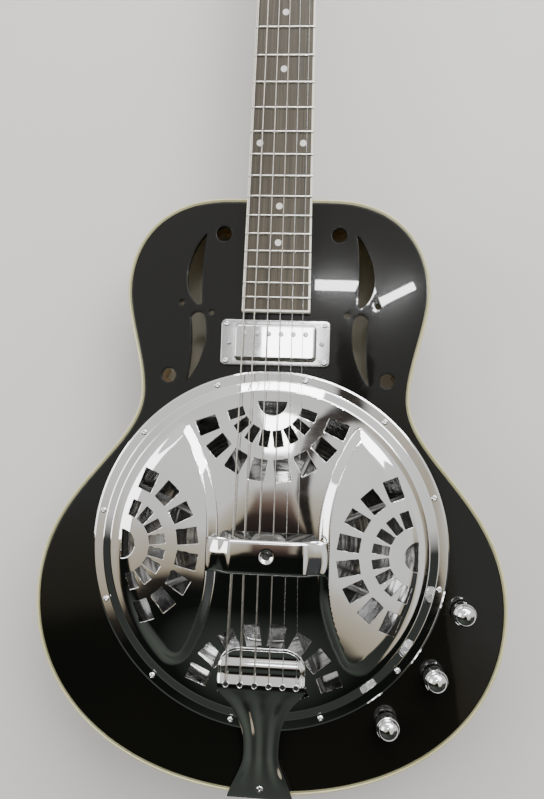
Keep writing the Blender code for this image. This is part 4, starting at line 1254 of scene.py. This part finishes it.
def string_post(index):
    """The post that a string goes to: -1 on the bass side or 1 on the treble side, and its place from the
    nut."""
    return (-1, index) if index < 3 else (1, 5 - index)


def string_path(index):
    radius = STRING_RADII[index]
    side, place = string_post(index)
    lift = radius + GAP
    post_end = head_place(side * (POST_X - POST_RADIUS - lift), POST_ALONG[place], 0.0075).translation
    tail, saddle, nut = TAIL_X[index], SADDLE_X[index], NUT_X[index]
    return [
        Vector((tail, BALL_Y + 0.0026, TOP + 0.0117 + lift)),
        Vector((tail, -0.0900, TOP + 0.0122 + lift)),
        Vector((tail, -0.0800, TOP + 0.0122 + lift)),
        Vector((saddle, 0.0, SADDLE_TOP + lift)),
        Vector((nut, NUT_Y, NUT_TOP + lift)),
        Vector((nut, NUT_Y + NUT_LONG, NUT_TOP + lift - 0.0001)),
        post_end,
    ]


def make_strings():
    """Each string: its wire, wound on the bass four, a twist at the tail, a ball end, and turns on its
    post."""
    for index, radius in enumerate(STRING_RADII):
        path = string_path(index)
        wound = index < WOUND_STRINGS
        step = max(radius * 1.1, 0.00045) / 2 if wound else 0.02
        points = []
        for a, b in zip(path, path[1:]):
            steps = max(1, round((b - a).length / step))
            points += [a.lerp(b, k / steps) for k in range(steps)]
        points.append(path[-1])
        radii = [radius * (0.96 if wound and i % 2 else 1.0) for i in range(len(points))]
        number = 6 - index
        look = WOUND_WIRE if wound else PLAIN_WIRE
        piece(f"drawn_string_{number}", *swept_mesh(points, radii, 8), look, "string_wire",
              f"string_{number}",
              sharp=80, flats=False)
        make_ball_end(number, path[0], radius, look)
        make_post_turns(index, number, radius, look)


def make_ball_end(number, start, radius, look):
    """The twisted stretch of wire, then the ball end: a flat ring hooked behind the hood, with a black disc
    in its middle as painted shade."""
    turns, steps, length = 4, 48, 0.0052
    helix = []
    for k in range(steps + 1):
        t = k / steps
        turn = math.tau * turns * t
        helix.append((start.x + radius * 1.5 * math.cos(turn), start.y + length * (1 - t),
                      start.z + radius * 0.4 + radius * 0.75 * math.sin(turn)))
    wire = swept_mesh(helix, [max(radius * 0.7, 0.0002)] * len(helix), 6)
    piece(f"string_twist_{number}", *wire, look, "string_wire", sharp=60, flats=False)
    major, minor = 0.0023, 0.00042
    place = Matrix.Translation((start.x, BALL_Y, TOP + 0.0121))
    rim = [(major + minor * math.cos(math.radians(45 * k)),
            minor * math.sin(math.radians(45 * k))) for k in range(8)]
    ring = shifted(turned_mesh(rim, 32, closed=True), place)
    piece(f"ball_ring_{number}", *ring, CHROME, "chrome", sharp=0, flats=False)
    # painted shade: a black disc under the ring fills its middle, standing for the shade inside the ball end
    painted_shade_disc = shifted(turned_mesh([(0, -0.0008), (0.0021, -0.0008), (0.0021, -0.0002), (0, -0.0002)], 32), place)
    piece(f"ball_end_{number}", *painted_shade_disc, BLACK_PLASTIC_AND_SHADE, "brass", flats=False)


def make_post_turns(index, number, radius, look):
    """The turns of string round its post, which turn with the post."""
    side, place = string_post(index)
    hand = "bass" if side < 0 else "treble"
    post = head_place(side * POST_X, POST_ALONG[place], 0)
    turns = 3
    steps = 28 * turns
    start = 0.0 if side < 0 else math.pi
    reach = POST_RADIUS - 0.0003 + radius
    points = []
    for k in range(steps + 1):
        t = k / steps
        turn = start - side * math.tau * turns * t
        sunk = 2.1 * radius * turns * t
        points.append(post @ Vector((reach * math.cos(turn), reach * math.sin(turn), 0.0088 - sunk)))
    piece(f"post_turns_{number}", *swept_mesh(points, [radius] * len(points), 8), look, "string_wire",
          body=f"{hand}_post_{place + 1}_gear", sharp=60, flats=False)


# ---------------------------------------------------------------- neck


def board_half_width(y):
    """Half the fretboard's width at y: it widens from the nut to the body end."""
    return (0.050 + (0.435 - y) * 0.0267) / 2


def fret_y(number):
    return SCALE_LENGTH * 2 ** (-number / 12) + COMPENSATION


def make_fretboard():
    low = TOP + GAP
    wall = BOARD_BINDING
    near, far = BOARD_END + wall, NUT_Y - GAP
    board = [
        (-board_half_width(near) + wall, near), (board_half_width(near) - wall, near),
        (board_half_width(far) - wall, far), (-board_half_width(far) + wall, far),
    ]
    slab("rosewood_board", board, [], low, BOARD_TOP, ROSEWOOD, "rosewood", "fretboard", top_edge=0.0001)
    end, start = board_half_width(BOARD_END), board_half_width(NUT_Y)
    loop = [
        (-end, BOARD_END), (end, BOARD_END), (start, far), (start - wall, far), (end - wall, near),
        (-end + wall, near), (-start + wall, far), (-start, far),
    ]
    slab("board_binding", loop, [], low, BOARD_TOP, PALE_CREAM, "cream_binding", "fretboard_binding",
         top_edge=0.00015, low_edge=0.0001)
    for number in range(1, FRETS + 1):
        make_fret(number)
    for number, places in DOT_FRETS.items():
        y = (fret_y(number) + fret_y(number - 1)) / 2
        for count, x in enumerate(places):
            dot = [(0, -0.001), (DOT_RADIUS, -0.001), (DOT_RADIUS, 0.00008), (0, 0.00012)]
            turned(f"pearl_dot_{number}_{count + 1}", dot, PEARL, "ivory_plastic", place=(x, y, BOARD_TOP),
                   segments=40, round_by=0.00005)


def make_fret(number):
    """One fret: a crowned wire across the board, with its ends bevelled inwards."""
    y = fret_y(number)
    half = board_half_width(y) + 0.0001
    steps = 8
    sections = []
    for x, scale in ((-half, 0.25), (-half + 0.0008, 1.0), (half - 0.0008, 1.0), (half, 0.25)):
        ring = []
        for k in range(steps + 1):
            turn = math.pi * k / steps
            high = FRET_HIGH * scale * math.sin(turn) ** 0.8
            ring.append((x, y + FRET_WIDE / 2 * math.cos(turn), BOARD_TOP + high))
        ring.append((x, y - 0.0003, BOARD_TOP - 0.0012))
        ring.append((x, y + 0.0003, BOARD_TOP - 0.0012))
        sections.append(ring)
    piece(f"fret_{number}", *lofted_mesh(sections), NICKEL, "steel", sharp=45)


def make_nut():
    """The nut, with a rounded top and a slot under each string."""
    low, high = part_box("nut")
    steps = 120
    sections = []
    for y, drop in ((low.y, 0.0), (low.y + 0.0012, 0.0), (high.y - 0.0012, 0.0006), (high.y, 0.0014)):
        ring = []
        for k in range(steps + 1):
            x = low.x + (high.x - low.x) * k / steps
            near = min(abs(x - NUT_X[i]) / (STRING_RADII[i] + 0.0001) for i in range(6))
            slot = 0.0004 * (1 - smooth_step((near - 0.8) / 0.6))
            end = 0.0008 * (1 - smooth_step(min(x - low.x, high.x - x) / 0.0015))
            ring.append((x, y, high.z - drop - slot - end))
        ring += [(high.x, y, low.z), (low.x, y, low.z)]
        sections.append(ring)
    verts, faces = lofted_mesh(sections)
    faces = [face[::-1] for face in faces]
    piece("slotted_nut", verts, faces, IVORY, "ivory_plastic", "nut")


def neck_section(place, along, half_wide, low_half, depth, count=24):
    down = Vector((0, along.z, -along.y))
    points = []
    for k in range(count + 1):
        turn = math.pi * k / count
        across = math.cos(turn)
        sink = math.sin(turn) ** 0.7 if 0 < k < count else 0.0
        width = half_wide + (low_half - half_wide) * sink
        points.append(Vector(place) + Vector((across * width, 0, 0)) + down * depth * sink)
    return points


def head_section(along, half, count=24):
    """One cross-section of the headstock: a flat face and square sides with rounded lower edges."""
    corners = []
    for k in range(count + 1):
        turn = math.pi * k / count
        across = min(max(math.cos(turn) * 1.45, -1), 1)
        sink = min(math.sin(turn) * 2.4, 1) if 0 < k < count else 0.0
        corners.append(head_place(0, 0, 0) @ Vector((across * half, along, -HEAD_THICK * sink)))
    return corners


def make_neck():
    """Heel, shaft and headstock in one smooth piece, with the truss rod's channel and the post holes cut
    in."""
    straight = Vector((0, 1, 0))
    top = TOP - GAP
    heel = (
        # y, half width at the top, half width underneath, depth
        (TOP_END[1] + GAP, 0.0262, 0.0165, 0.0790), (0.3000, 0.0262, 0.0175, 0.0760),
        (0.3080, 0.0260, 0.0195, 0.0660), (0.3160, 0.0258, 0.0215, 0.0480), (0.3260, 0.0255, 0.0230, 0.0310),
        (0.3400, 0.0255, 0.0235, 0.0225), (0.3700, 0.0255, 0.0240, 0.0185), (0.4700, 0.0246, 0.0246, 0.0175),
        (0.5600, 0.0234, 0.0234, 0.0165), (0.6400, 0.0223, 0.0223, 0.0155),
    )
    sections = []
    for y, half, low, depth in smooth_rows(heel, 5):
        here = min(half, board_half_width(y))
        sections.append(neck_section((0, y, top), straight, here, min(low, here), min(depth, 0.079)))
    head = ((0.0, 0.0222), (0.014, 0.0250), (0.030, 0.0330), (0.045, 0.0372), (0.070, 0.0381),
            (0.100, 0.0385),
            (0.145, 0.0370), (0.168, 0.0300), (0.178, 0.0210), (0.185, 0.0120))
    sections += [head_section(along, half) for along, half in smooth_rows(head, 4)]
    made = piece("lacquered_neck", *lofted_mesh(sections), LACQUER, "neck_wood", "neck", sharp=40)
    channel = 0.00325
    cut_away(made, *block_mesh((-channel, 0.300, top - 0.0095),
                               (channel, NUT_Y + NUT_LONG + 0.016, top + 0.010)))
    for side in (-1, 1):
        for along in POST_ALONG:
            cut_bore(made, head_place(side * POST_X, along, 0), 0.0042, -0.03, 0.02, 32)
    apply_cuts(made)


def make_rod_cover():
    """The bell-shaped cover in front of the nut, its two screws, and the truss rod with its socket under
    it."""
    outline = bezier((-0.0085, 0.010), (-0.0085, 0.024), (-0.006, 0.034), (0, 0.040), 16)
    outline += bezier((0, 0.040), (0.006, 0.034), (0.0085, 0.024), (0.0085, 0.010), 16)
    outline.append((0.0085, 0.010))
    thick = 0.002
    verts, faces, _ = slab_mesh(outline, [], GAP, thick, 0.0005, 0.0001)
    move(piece("bell_rod_cover", verts, faces, BLACK_PLASTIC_AND_SHADE, "black_plastic", "truss_rod_cover"),
         head_place(0, 0, 0))
    for count, along in enumerate((0.0135, 0.0345), 1):
        screw = small_screw(f"rod_cover_screw_{count}", (0, along, thick), 0.0016, 0.0008, 0.4 * count)
        move(screw, head_place(0, 0, 0))
    rod_low, rod_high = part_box("truss_rod")
    middle = (rod_low + rod_high) / 2
    length = rod_high.y - rod_low.y
    rod = [(0, 0), (0.0028, 0), (0.0028, length - 0.007), (0.0026, length - 0.006), (0.0026, length),
           (0.0013, length), (0.0013, length - 0.004), (0, length - 0.004)]
    turned("steel_truss_rod", rod, STEEL, "steel", "truss_rod",
           along_axis((middle.x, rod_low.y, middle.z), (0, 1, 0)), segments=24)


# ---------------------------------------------------------------- machine heads


def make_machine_heads():
    under = -HEAD_THICK - GAP
    sheet = 0.0012
    ferrule = [(0.0032, 0.0), (0.0055, 0.0), (0.0055, 0.0006), (0.0046, 0.0016), (0.0032, 0.0016)]
    for side, hand in ((-1, "bass"), (1, "treble")):
        make_tuner_plate(side, hand, under, sheet)
        outwards = Matrix.Rotation(side * math.radians(90), 4, "Y")
        for number, along in enumerate(POST_ALONG, 1):
            post_place = head_place(side * POST_X, along, 0)
            make_post(hand, number, post_place, under - sheet - GAP)
            make_worm(hand, number, head_place(side * POST_X, along + WORM_OFFSET, WORM_DROP) @ outwards)
            turned(f"{hand}_ferrule_{number}", ferrule, CHROME, "chrome", place=post_place, segments=40,
                   round_by=0.0002, closed=True)


def make_tuner_plate(side, hand, under, sheet):
    """The strip that the three machines stand on, with two bent lugs for each worm."""
    middle = sum(POST_ALONG) / 3 + WORM_OFFSET / 2
    lug_out, lug_size, lug_half = 0.0080, 0.0068, 0.0011
    holes = [circle(side * POST_X, along, POST_RADIUS + GAP, 24) for along in POST_ALONG]
    outline = rectangle(side * POST_X, middle, 0.021, 0.116, 0.0035)
    strip = slab_mesh(outline, holes, under - sheet, under, 0.0002, 0.0003)
    lug = slab_mesh(
        rectangle(0, 0, lug_size, lug_size, 0.0028, 5), [circle(0, 0, 0.0017 + GAP, 20)], -lug_half, lug_half,
        0.0002, 0.0002,
    )
    upright = Matrix.Rotation(math.radians(90), 4, "Y")
    parts = [shifted(strip[:2], head_place(0, 0, 0))]
    for along in POST_ALONG:
        for offset in (-lug_out, lug_out):
            lug_place = head_place(side * (POST_X + offset), along + WORM_OFFSET, WORM_DROP)
            parts.append(shifted(lug[:2], lug_place @ upright))
    piece(f"pressed_{hand}_tuner_plate", *joined(parts), CHROME, "chrome", f"{hand}_tuner_plate")
    upside_down = Matrix.Rotation(math.pi, 4, "X")
    for count in range(4):
        screw = small_screw(f"{hand}_plate_screw_{count + 1}", (0, 0, 0), 0.0018, 0.0011, count)
        offset = -side * 0.0078 if 0 < count < 3 else 0.0
        along = middle - 0.0545 + count * 0.109 / 3
        move(screw, head_place(side * POST_X + offset, along, under - sheet) @ upside_down)


def make_post(hand, number, place, gear_top):
    """A post with its toothed gear below the plate and a waist for the string above the headstock."""
    teeth, tooth_deep, gear_from = 15, 0.00055, 0.005

    def toothed(radius, z, turn):
        if radius < gear_from:
            return radius
        return radius - tooth_deep * (0.5 - 0.5 * math.cos(turn * teeth)) ** 0.7

    gear = [(0, -0.0040), (0.0026, -0.0040), (0.0034, -0.0034), (0.0061, -0.0034), (0.0062, -0.0003),
            (0.0034, -0.0002)]
    post = [(r, gear_top + z) for r, z in gear] + [
        (POST_RADIUS, gear_top), (POST_RADIUS, 0.0040), (0.00275, 0.0052), (0.00255, 0.0075),
        (0.00275, 0.0100),
        (0.0030, 0.0112), (0.0030, 0.0132), (0.0022, 0.0139), (0, 0.0140),
    ]
    turned(f"geared_{hand}_post_{number}", post, CHROME, "chrome", f"{hand}_post_{number}", place,
           segments=90,
           round_by=0.0002, wobble=toothed, body=f"{hand}_post_{number}_gear")


def make_worm(hand, number, place):
    """The worm's thread, its shaft, and an oval button, all on one axis."""
    button = 0.047 - POST_X
    shaft = [(0, -0.0100), (0.0015, -0.0100), (0.0017, -0.0096), (0.0017, -0.0058), (0.0021, -0.0054),
             (0.0021, 0.0054), (0.0017, 0.0058), (0.0017, button - 0.001), (0.0026, button - 0.0006),
             (0.0030, button + 0.0006), (0.0030, button + 0.0026), (0, button + 0.0026)]
    root, half_long, turns, steps = 0.0021, 0.0049, 6, 18
    thread = []
    for k in range(turns * steps + 1):
        turn = math.tau * k / steps
        rise = 2 * half_long * k / (turns * steps)
        thread.append((root * math.cos(turn), root * math.sin(turn), rise - half_long))
    parts = [turned_mesh(softened(shaft, 0.0002), 32), swept_mesh(thread, [0.0005] * len(thread), 6)]
    body = f"{hand}_tuner_{number}_worm"
    move(piece(f"threaded_{hand}_worm_{number}", *joined(parts), CHROME, "chrome", f"{hand}_tuner_{number}",
               body=body), place)
    profile = [(0.0022, button + 0.0022), (0.0048, button + 0.0026), (0.0078, button + 0.0048),
               (0.0090, button + 0.0082), (0.0086, button + 0.0112), (0.0064, button + 0.0138),
               (0.0030, button + 0.0148), (0, button + 0.0150)]
    curved = [(0, profile[0][1])] + smooth_rows(profile, 4)[:-1] + [profile[-1]]
    verts, faces = turned_mesh([(max(r, 0.0), z) for r, z in curved], 48)
    flattened = [(x * 0.52, y, z) for x, y, z in verts]
    move(piece(f"{hand}_button_{number}", flattened, faces, CHROME, "chrome", body=body, sharp=60), place)


# ---------------------------------------------------------------- pickup, controls and jack


def make_pickup():
    ring_low = TOP + GAP
    ring_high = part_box("pickup_ring")[1].z
    outline = rectangle(0, PICKUP_Y, *RING_SIZE, 0.004)
    opening = rectangle(0, PICKUP_Y, PICKUP_SIZE[0] + 0.001, PICKUP_SIZE[1] + 0.001, 0.003)
    slab("pressed_pickup_ring", outline, [opening], ring_low, ring_high, DULL_CHROME, "chrome", "pickup_ring",
         top_edge=0.0009)
    low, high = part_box("pickup")
    wide, tall = PICKUP_SIZE
    levels = [(0.0, 0.0028, low.z)]
    edge = 0.0016
    for k in range(7):
        turn = math.radians(90) * k / 6
        levels.append((edge * (1 - math.cos(turn)), 0.0028, high.z - edge + edge * math.sin(turn)))
    sections = [
        [(x, y, z) for x, y in rectangle(0, PICKUP_Y, wide - 2 * inset, tall - 2 * inset,
                                         corner - inset * 0.6)]
        for inset, corner, z in levels
    ]
    piece("chrome_pickup_cover", *lofted_mesh(sections), CHROME, "chrome", "pickup")
    pole_apart, poles_aside = 0.0101, 0.0066
    for index in range(6):
        make_pole(f"pole_screw_{index + 1}", ((index - 2.5) * pole_apart, PICKUP_Y + poles_aside, high.z),
                  index)
    for sx in (-1, 1):
        side = "bass" if sx < 0 else "treble"
        small_screw(f"pickup_height_screw_{side}", (sx * 0.0385, PICKUP_Y, ring_high), 0.0021, 0.0013,
                    0.9 * sx,
                    STEEL)
        for sy in (-1, 1):
            end = "low" if sy < 0 else "high"
            small_screw(f"pickup_ring_screw_{side}_{end}", (sx * 0.0408, PICKUP_Y + sy * 0.0154, ring_high),
                        0.0024, 0.0012, sx + 0.5 * sy)


def make_pole(name, place, index):
    """A round pole screw with a straight slot, a little proud of the cover."""
    radius, high = 0.0021, 0.0007
    head = softened([(0, -0.001), (radius, -0.001), (radius, high), (radius * 0.8, high + 0.0001)], 0.0002)
    verts, faces = turned_mesh(head, 32)
    long, half = 0.00155, 0.00028
    sink_recess(verts, faces, 32, [(-long, -half), (long, -half), (long, half), (-long, half)], 0.0006)
    made = piece(name, verts, faces, STEEL, "steel")
    move(made, Matrix.Translation(place) @ Matrix.Rotation(0.35 * index - 0.6, 4, "Z"))


def knurled(radius, z, turn):
    """Flutes round a knob's widest part."""
    if radius < 0.0085 or not 0.0012 < z < 0.0090:
        return radius
    return radius - 0.00028 * (0.5 - 0.5 * math.cos(turn * 48))


def make_knob(name, x, y):
    """A domed knob with a knurled skirt, bored for its shaft."""
    low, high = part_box(f"{name}_knob")
    tall = high.z - low.z
    radius, dome, dome_low = 0.009, 0.0085, 0.0106
    knob = [(0, 0.0125), (0.0033, 0.0125), (0.0033, 0.003), (0.0055, 0.003), (0.0055, 0.0), (0.0086, 0.0)]
    knob += [(radius, z) for z in (0.0005, 0.0014, 0.0035, 0.0060, 0.0088, 0.0096)]
    knob += [(dome, 0.0101), (dome, dome_low)]
    steps = 12
    for k in range(1, steps):
        turn = math.radians(90) * k / steps
        knob.append((dome * math.cos(turn), dome_low + (tall - dome_low) * math.sin(turn)))
    knob.append((0, tall))
    turned(f"domed_{name}_knob", knob, CHROME, "chrome", f"{name}_knob", (x, y, low.z), segments=192,
           round_by=0, wobble=knurled, body=f"{name}_control")


def make_controls():
    """Each knob, the brass shaft that it sits on, and the potentiometer that hangs under the top."""
    collar = TOP_THICK + GAP + 0.0012
    case = [
        (0, -0.013), (0.0108, -0.013), (0.0115, -0.0123), (0.0115, -0.0012), (0.0112, -0.001),
        (0.0038, -0.001),
        (0.0038, collar), (0.0033, collar), (0.0033, -0.010), (0, -0.010),
    ]
    for name in KNOBS:
        x, y = knob_centre(name)
        make_knob(name, x, y)
        low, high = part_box(f"{name}_shaft")
        length = high.z - low.z
        shaft = [(0, 0), (0.003, 0), (0.003, length - 0.0005), (0.0025, length), (0, length)]
        turned(f"brass_{name}_shaft", shaft, BRASS, "brass", f"{name}_shaft", (x, y, low.z),
               body=f"{name}_control", segments=32)
        turned(f"pressed_{name}_pot", case, STEEL, "steel", f"{name}_pot", (x, y, TOP - TOP_THICK - GAP),
               segments=48, round_by=0.0002)


def make_jack():
    profile = [
        (0, -0.0265), (0.0066, -0.0265), (0.0070, -0.0260), (0.0070, -0.0050), (0.0048, -0.0050),
        (0.0048, 0.0007),
        (0.0082, 0.0007), (0.0082, 0.0030), (0.0075, 0.0037), (0.0056, 0.0038), (0.0054, 0.0047),
        (0.0033, 0.0047),
        (0.0033, -0.0240), (0, -0.0240),
    ]

    def six_sided(radius, z, turn):
        if radius < 0.0072 or z < 0:
            return radius
        wedge = (turn + math.pi / 6) % (math.pi / 3) - math.pi / 6
        return min(radius, 0.0071 / math.cos(wedge))

    place = along_axis((*LOWER_BOUT, 0.043), (1, 0, 0))
    turned("threaded_output_jack", profile, CHROME, "chrome", "output_jack", place, segments=72,
           round_by=0.0002,
           wobble=six_sided)


# ---------------------------------------------------------------- stage, light and camera


def make_stage():
    size, low = 12.0, -0.0005
    corners = [(sx * size, sy * size, low) for sx, sy in ((-1, -1), (1, -1), (1, 1), (-1, 1))]
    floor = mesh_object("studio_floor", corners, [[0, 1, 2, 3]])
    floor.data.materials.append(make_floor_look())


def soft_light(name, place, target, size, power, turn=0.0):
    data = bpy.data.lights.new(name, "AREA")
    data.shape = "RECTANGLE"
    data.size, data.size_y = size
    data.energy = power
    made = bpy.data.objects.new(name, data)
    made.location = place
    made.rotation_euler = (Vector(target) - Vector(place)).to_track_quat("-Z", "Y").to_euler()
    made.rotation_euler.z += turn
    bpy.context.scene.collection.objects.link(made)


def make_lights():
    """Three large soft lights, and three small ones in the ceiling that the lacquer and the chrome
    reflect."""
    soft_light("key", (0.9, 1.2, 1.5), (0, 0.05, 0.08), (1.2, 1.2), 28)
    soft_light("fill", (-1.5, 0.2, 1.3), (0, 0.05, 0.08), (1.0, 1.0), 12)
    soft_light("beyond_the_neck", (0.0, 1.9, 1.2), (0, 0.3, 0.08), (1.3, 0.6), 22)
    ceiling = 2.086
    for name, x, y, size, power, turn in (
        ("ceiling_strip", 0.108, 0.660, (0.180, 0.042), 2.6, 0),
        ("slanting_strip", 0.333, 0.628, (0.173, 0.035), 2.2, 27),
        ("ceiling_panel", -0.08, 0.425, (0.21, 0.14), 0.7, 0),
    ):
        soft_light(name, (x, y, ceiling), (x, y, 0.0), size, power, math.radians(turn))


class Sky(Nodes):
    """The world's nodes. x, y and z are the parts of the way that a ray goes."""

    def __init__(self, name):
        world = bpy.data.worlds.new(name)
        bpy.context.scene.world = world
        world.use_nodes = True
        self.tree = world.node_tree
        self.way = self.add("ShaderNodeTexCoord").outputs["Generated"]
        split = self.add("ShaderNodeSeparateXYZ", [("Vector", self.way)])
        self.x, self.y, self.z = (split.outputs[axis] for axis in "XYZ")

    def math(self, operation, *values):
        return self.add("ShaderNodeMath", enumerate(values), operation=operation).outputs[0]

    def ramp(self, source, low, high, *stops):
        """Colours or greys against the source, whose stops are given in its own units between low and
        high."""
        scaled = self.math("DIVIDE", self.math("SUBTRACT", source, low), high - low)
        return super().ramp(scaled, *(
            ((at - low) / (high - low), colour if isinstance(colour, tuple) else (colour,) * 3)
            for at, colour in stops
        ))

    def noise(self, scale, detail):
        inputs = [("Scale", scale), ("Detail", detail), ("Vector", self.way)]
        return self.add("ShaderNodeTexNoise", inputs).outputs["Fac"]

    def combine(self, operation, *colours):
        return self.add("ShaderNodeVectorMath", enumerate(colours), operation=operation).outputs["Vector"]

    def mix(self, share, first, second):
        inputs = [("Factor", share), ("A", first), ("B", second)]
        return self.add("ShaderNodeMix", inputs, data_type="RGBA").outputs["Result"]


def make_world():
    """The room that the chrome reflects: pale walls and ceiling, and dark figures leaning in from the
    tail."""
    sky = Sky("studio")
    waver = sky.math("MULTIPLY", sky.math("SUBTRACT", sky.noise(5.0, 3), 0.5), 0.08)
    # how far towards the tail the pale ceiling reaches, by the way to the treble side
    reach = sky.ramp(sky.x, -1.0, 1.0, (-0.80, 0.14), (-0.52, 0.26), (-0.36, 0.29), (-0.26, 0.27),
                     (-0.13, 0.12),
                     (0.175, 0.12), (0.215, 0.42), (0.34, 0.50), (0.55, 0.46), (0.70, 0.14))
    edge = sky.math("ADD", sky.math("ADD", sky.y, reach), waver)
    black, tan, white = (0.006, 0.007, 0.006), (0.42, 0.36, 0.26), (0.80, 0.79, 0.77)
    room = sky.ramp(edge, -0.5, 1.0, (-0.06, black), (-0.02, (0.03, 0.025, 0.02)), (0.01, tan),
                    (0.11, (0.62, 0.57, 0.48)), (0.17, white), (0.70, (1.0, 0.99, 0.97)))
    figure = sky.ramp(edge, -0.5, 1.0, (-0.06, black), (0.0, (0.05, 0.035, 0.03)),
                      (0.06, (0.16, 0.11, 0.085)),
                      (0.12, (0.34, 0.28, 0.24)), (0.16, white))
    lean = sky.math("ADD", sky.x, sky.math("MULTIPLY", waver, 0.5))
    column = sky.ramp(lean, -0.5, 0.5, (-0.125, 0.0), (-0.105, 1.0), (0.0, 1.0), (0.03, 0.0))
    shade = sky.ramp(sky.x, -1.0, 1.0, (-0.75, 1.0), (-0.30, 0.80), (-0.05, 0.60), (0.15, 0.50), (0.60, 0.28))
    seat = sky.ramp(sky.y, -1.0, 0.0, (-0.72, (0.085, 0.096, 0.080)), (-0.50, (0.062, 0.070, 0.060)),
                    (-0.38, 0.0))
    seat = sky.combine("MULTIPLY", seat, shade)
    arm_across = sky.ramp(lean, -0.5, 0.5, (0.024, 0.0), (0.034, 1.0), (0.066, 1.0), (0.080, 0.0))
    arm_along = sky.ramp(sky.math("ADD", sky.y, waver), -1.0, 1.0, (0.13, 1.0), (0.16, 0.0))
    arm = sky.ramp(sky.y, -1.0, 1.0, (-0.20, (0.005, 0.006, 0.005)), (0.0, (0.03, 0.026, 0.023)),
                   (0.20, (0.10, 0.085, 0.075)))
    figures = sky.mix(column, room, figure)
    figures = sky.mix(sky.math("MULTIPLY", arm_across, arm_along), figures, arm)
    far_wall = sky.ramp(sky.x, -1.0, 1.0, (0.60, 0.0), (0.72, (0.055, 0.056, 0.058)))
    colour = sky.combine("ADD", sky.combine("ADD", figures, seat), far_wall)
    horizon = sky.ramp(sky.z, -1.0, 1.0, (0.30, 1.0), (0.40, 0.0))
    pale = sky.ramp(sky.y, -1.0, 1.0, (-0.16, (0.040, 0.044, 0.040)), (-0.02, (0.76, 0.75, 0.73)))
    background = sky.tree.nodes["Background"]
    sky.tree.links.new(sky.mix(horizon, colour, pale), background.inputs["Color"])
    background.inputs["Strength"].default_value = 1.0


def make_camera():
    data = bpy.data.cameras.new("camera")
    data.sensor_width = 36.0
    data.lens = 29.03
    data.clip_start = 0.01
    camera = bpy.data.objects.new("camera", data)
    camera.location = (0.03536, 0.10172, TOP + 0.53336)
    camera.rotation_euler = [math.radians(a) for a in (2.4163, 3.8331, 1.9780)]
    bpy.context.scene.collection.objects.link(camera)
    bpy.context.scene.camera = camera


def main():
    make_camera()
    make_stage()
    make_world()
    make_lights()
    make_top()
    make_binding_ring("top_edge_binding", "top_binding", TOP - BINDING_DEEP, TOP, True)
    make_binding_ring("back_edge_binding", "back_binding", 0.0, BINDING_DEEP, False)
    make_rib("lacquered_bass_rib", "bass_rib", -1)
    make_rib("lacquered_treble_rib", "treble_rib", 1)
    make_back()
    make_linings()
    make_blocks()
    make_soundwell()
    make_cone()
    make_spider()
    make_tension_screw()
    make_coverplate()
    make_palm_rest()
    make_tailpiece()
    make_fretboard()
    make_nut()
    make_neck()
    make_rod_cover()
    make_machine_heads()
    make_strings()
    make_pickup()
    make_controls()
    make_jack()


main()
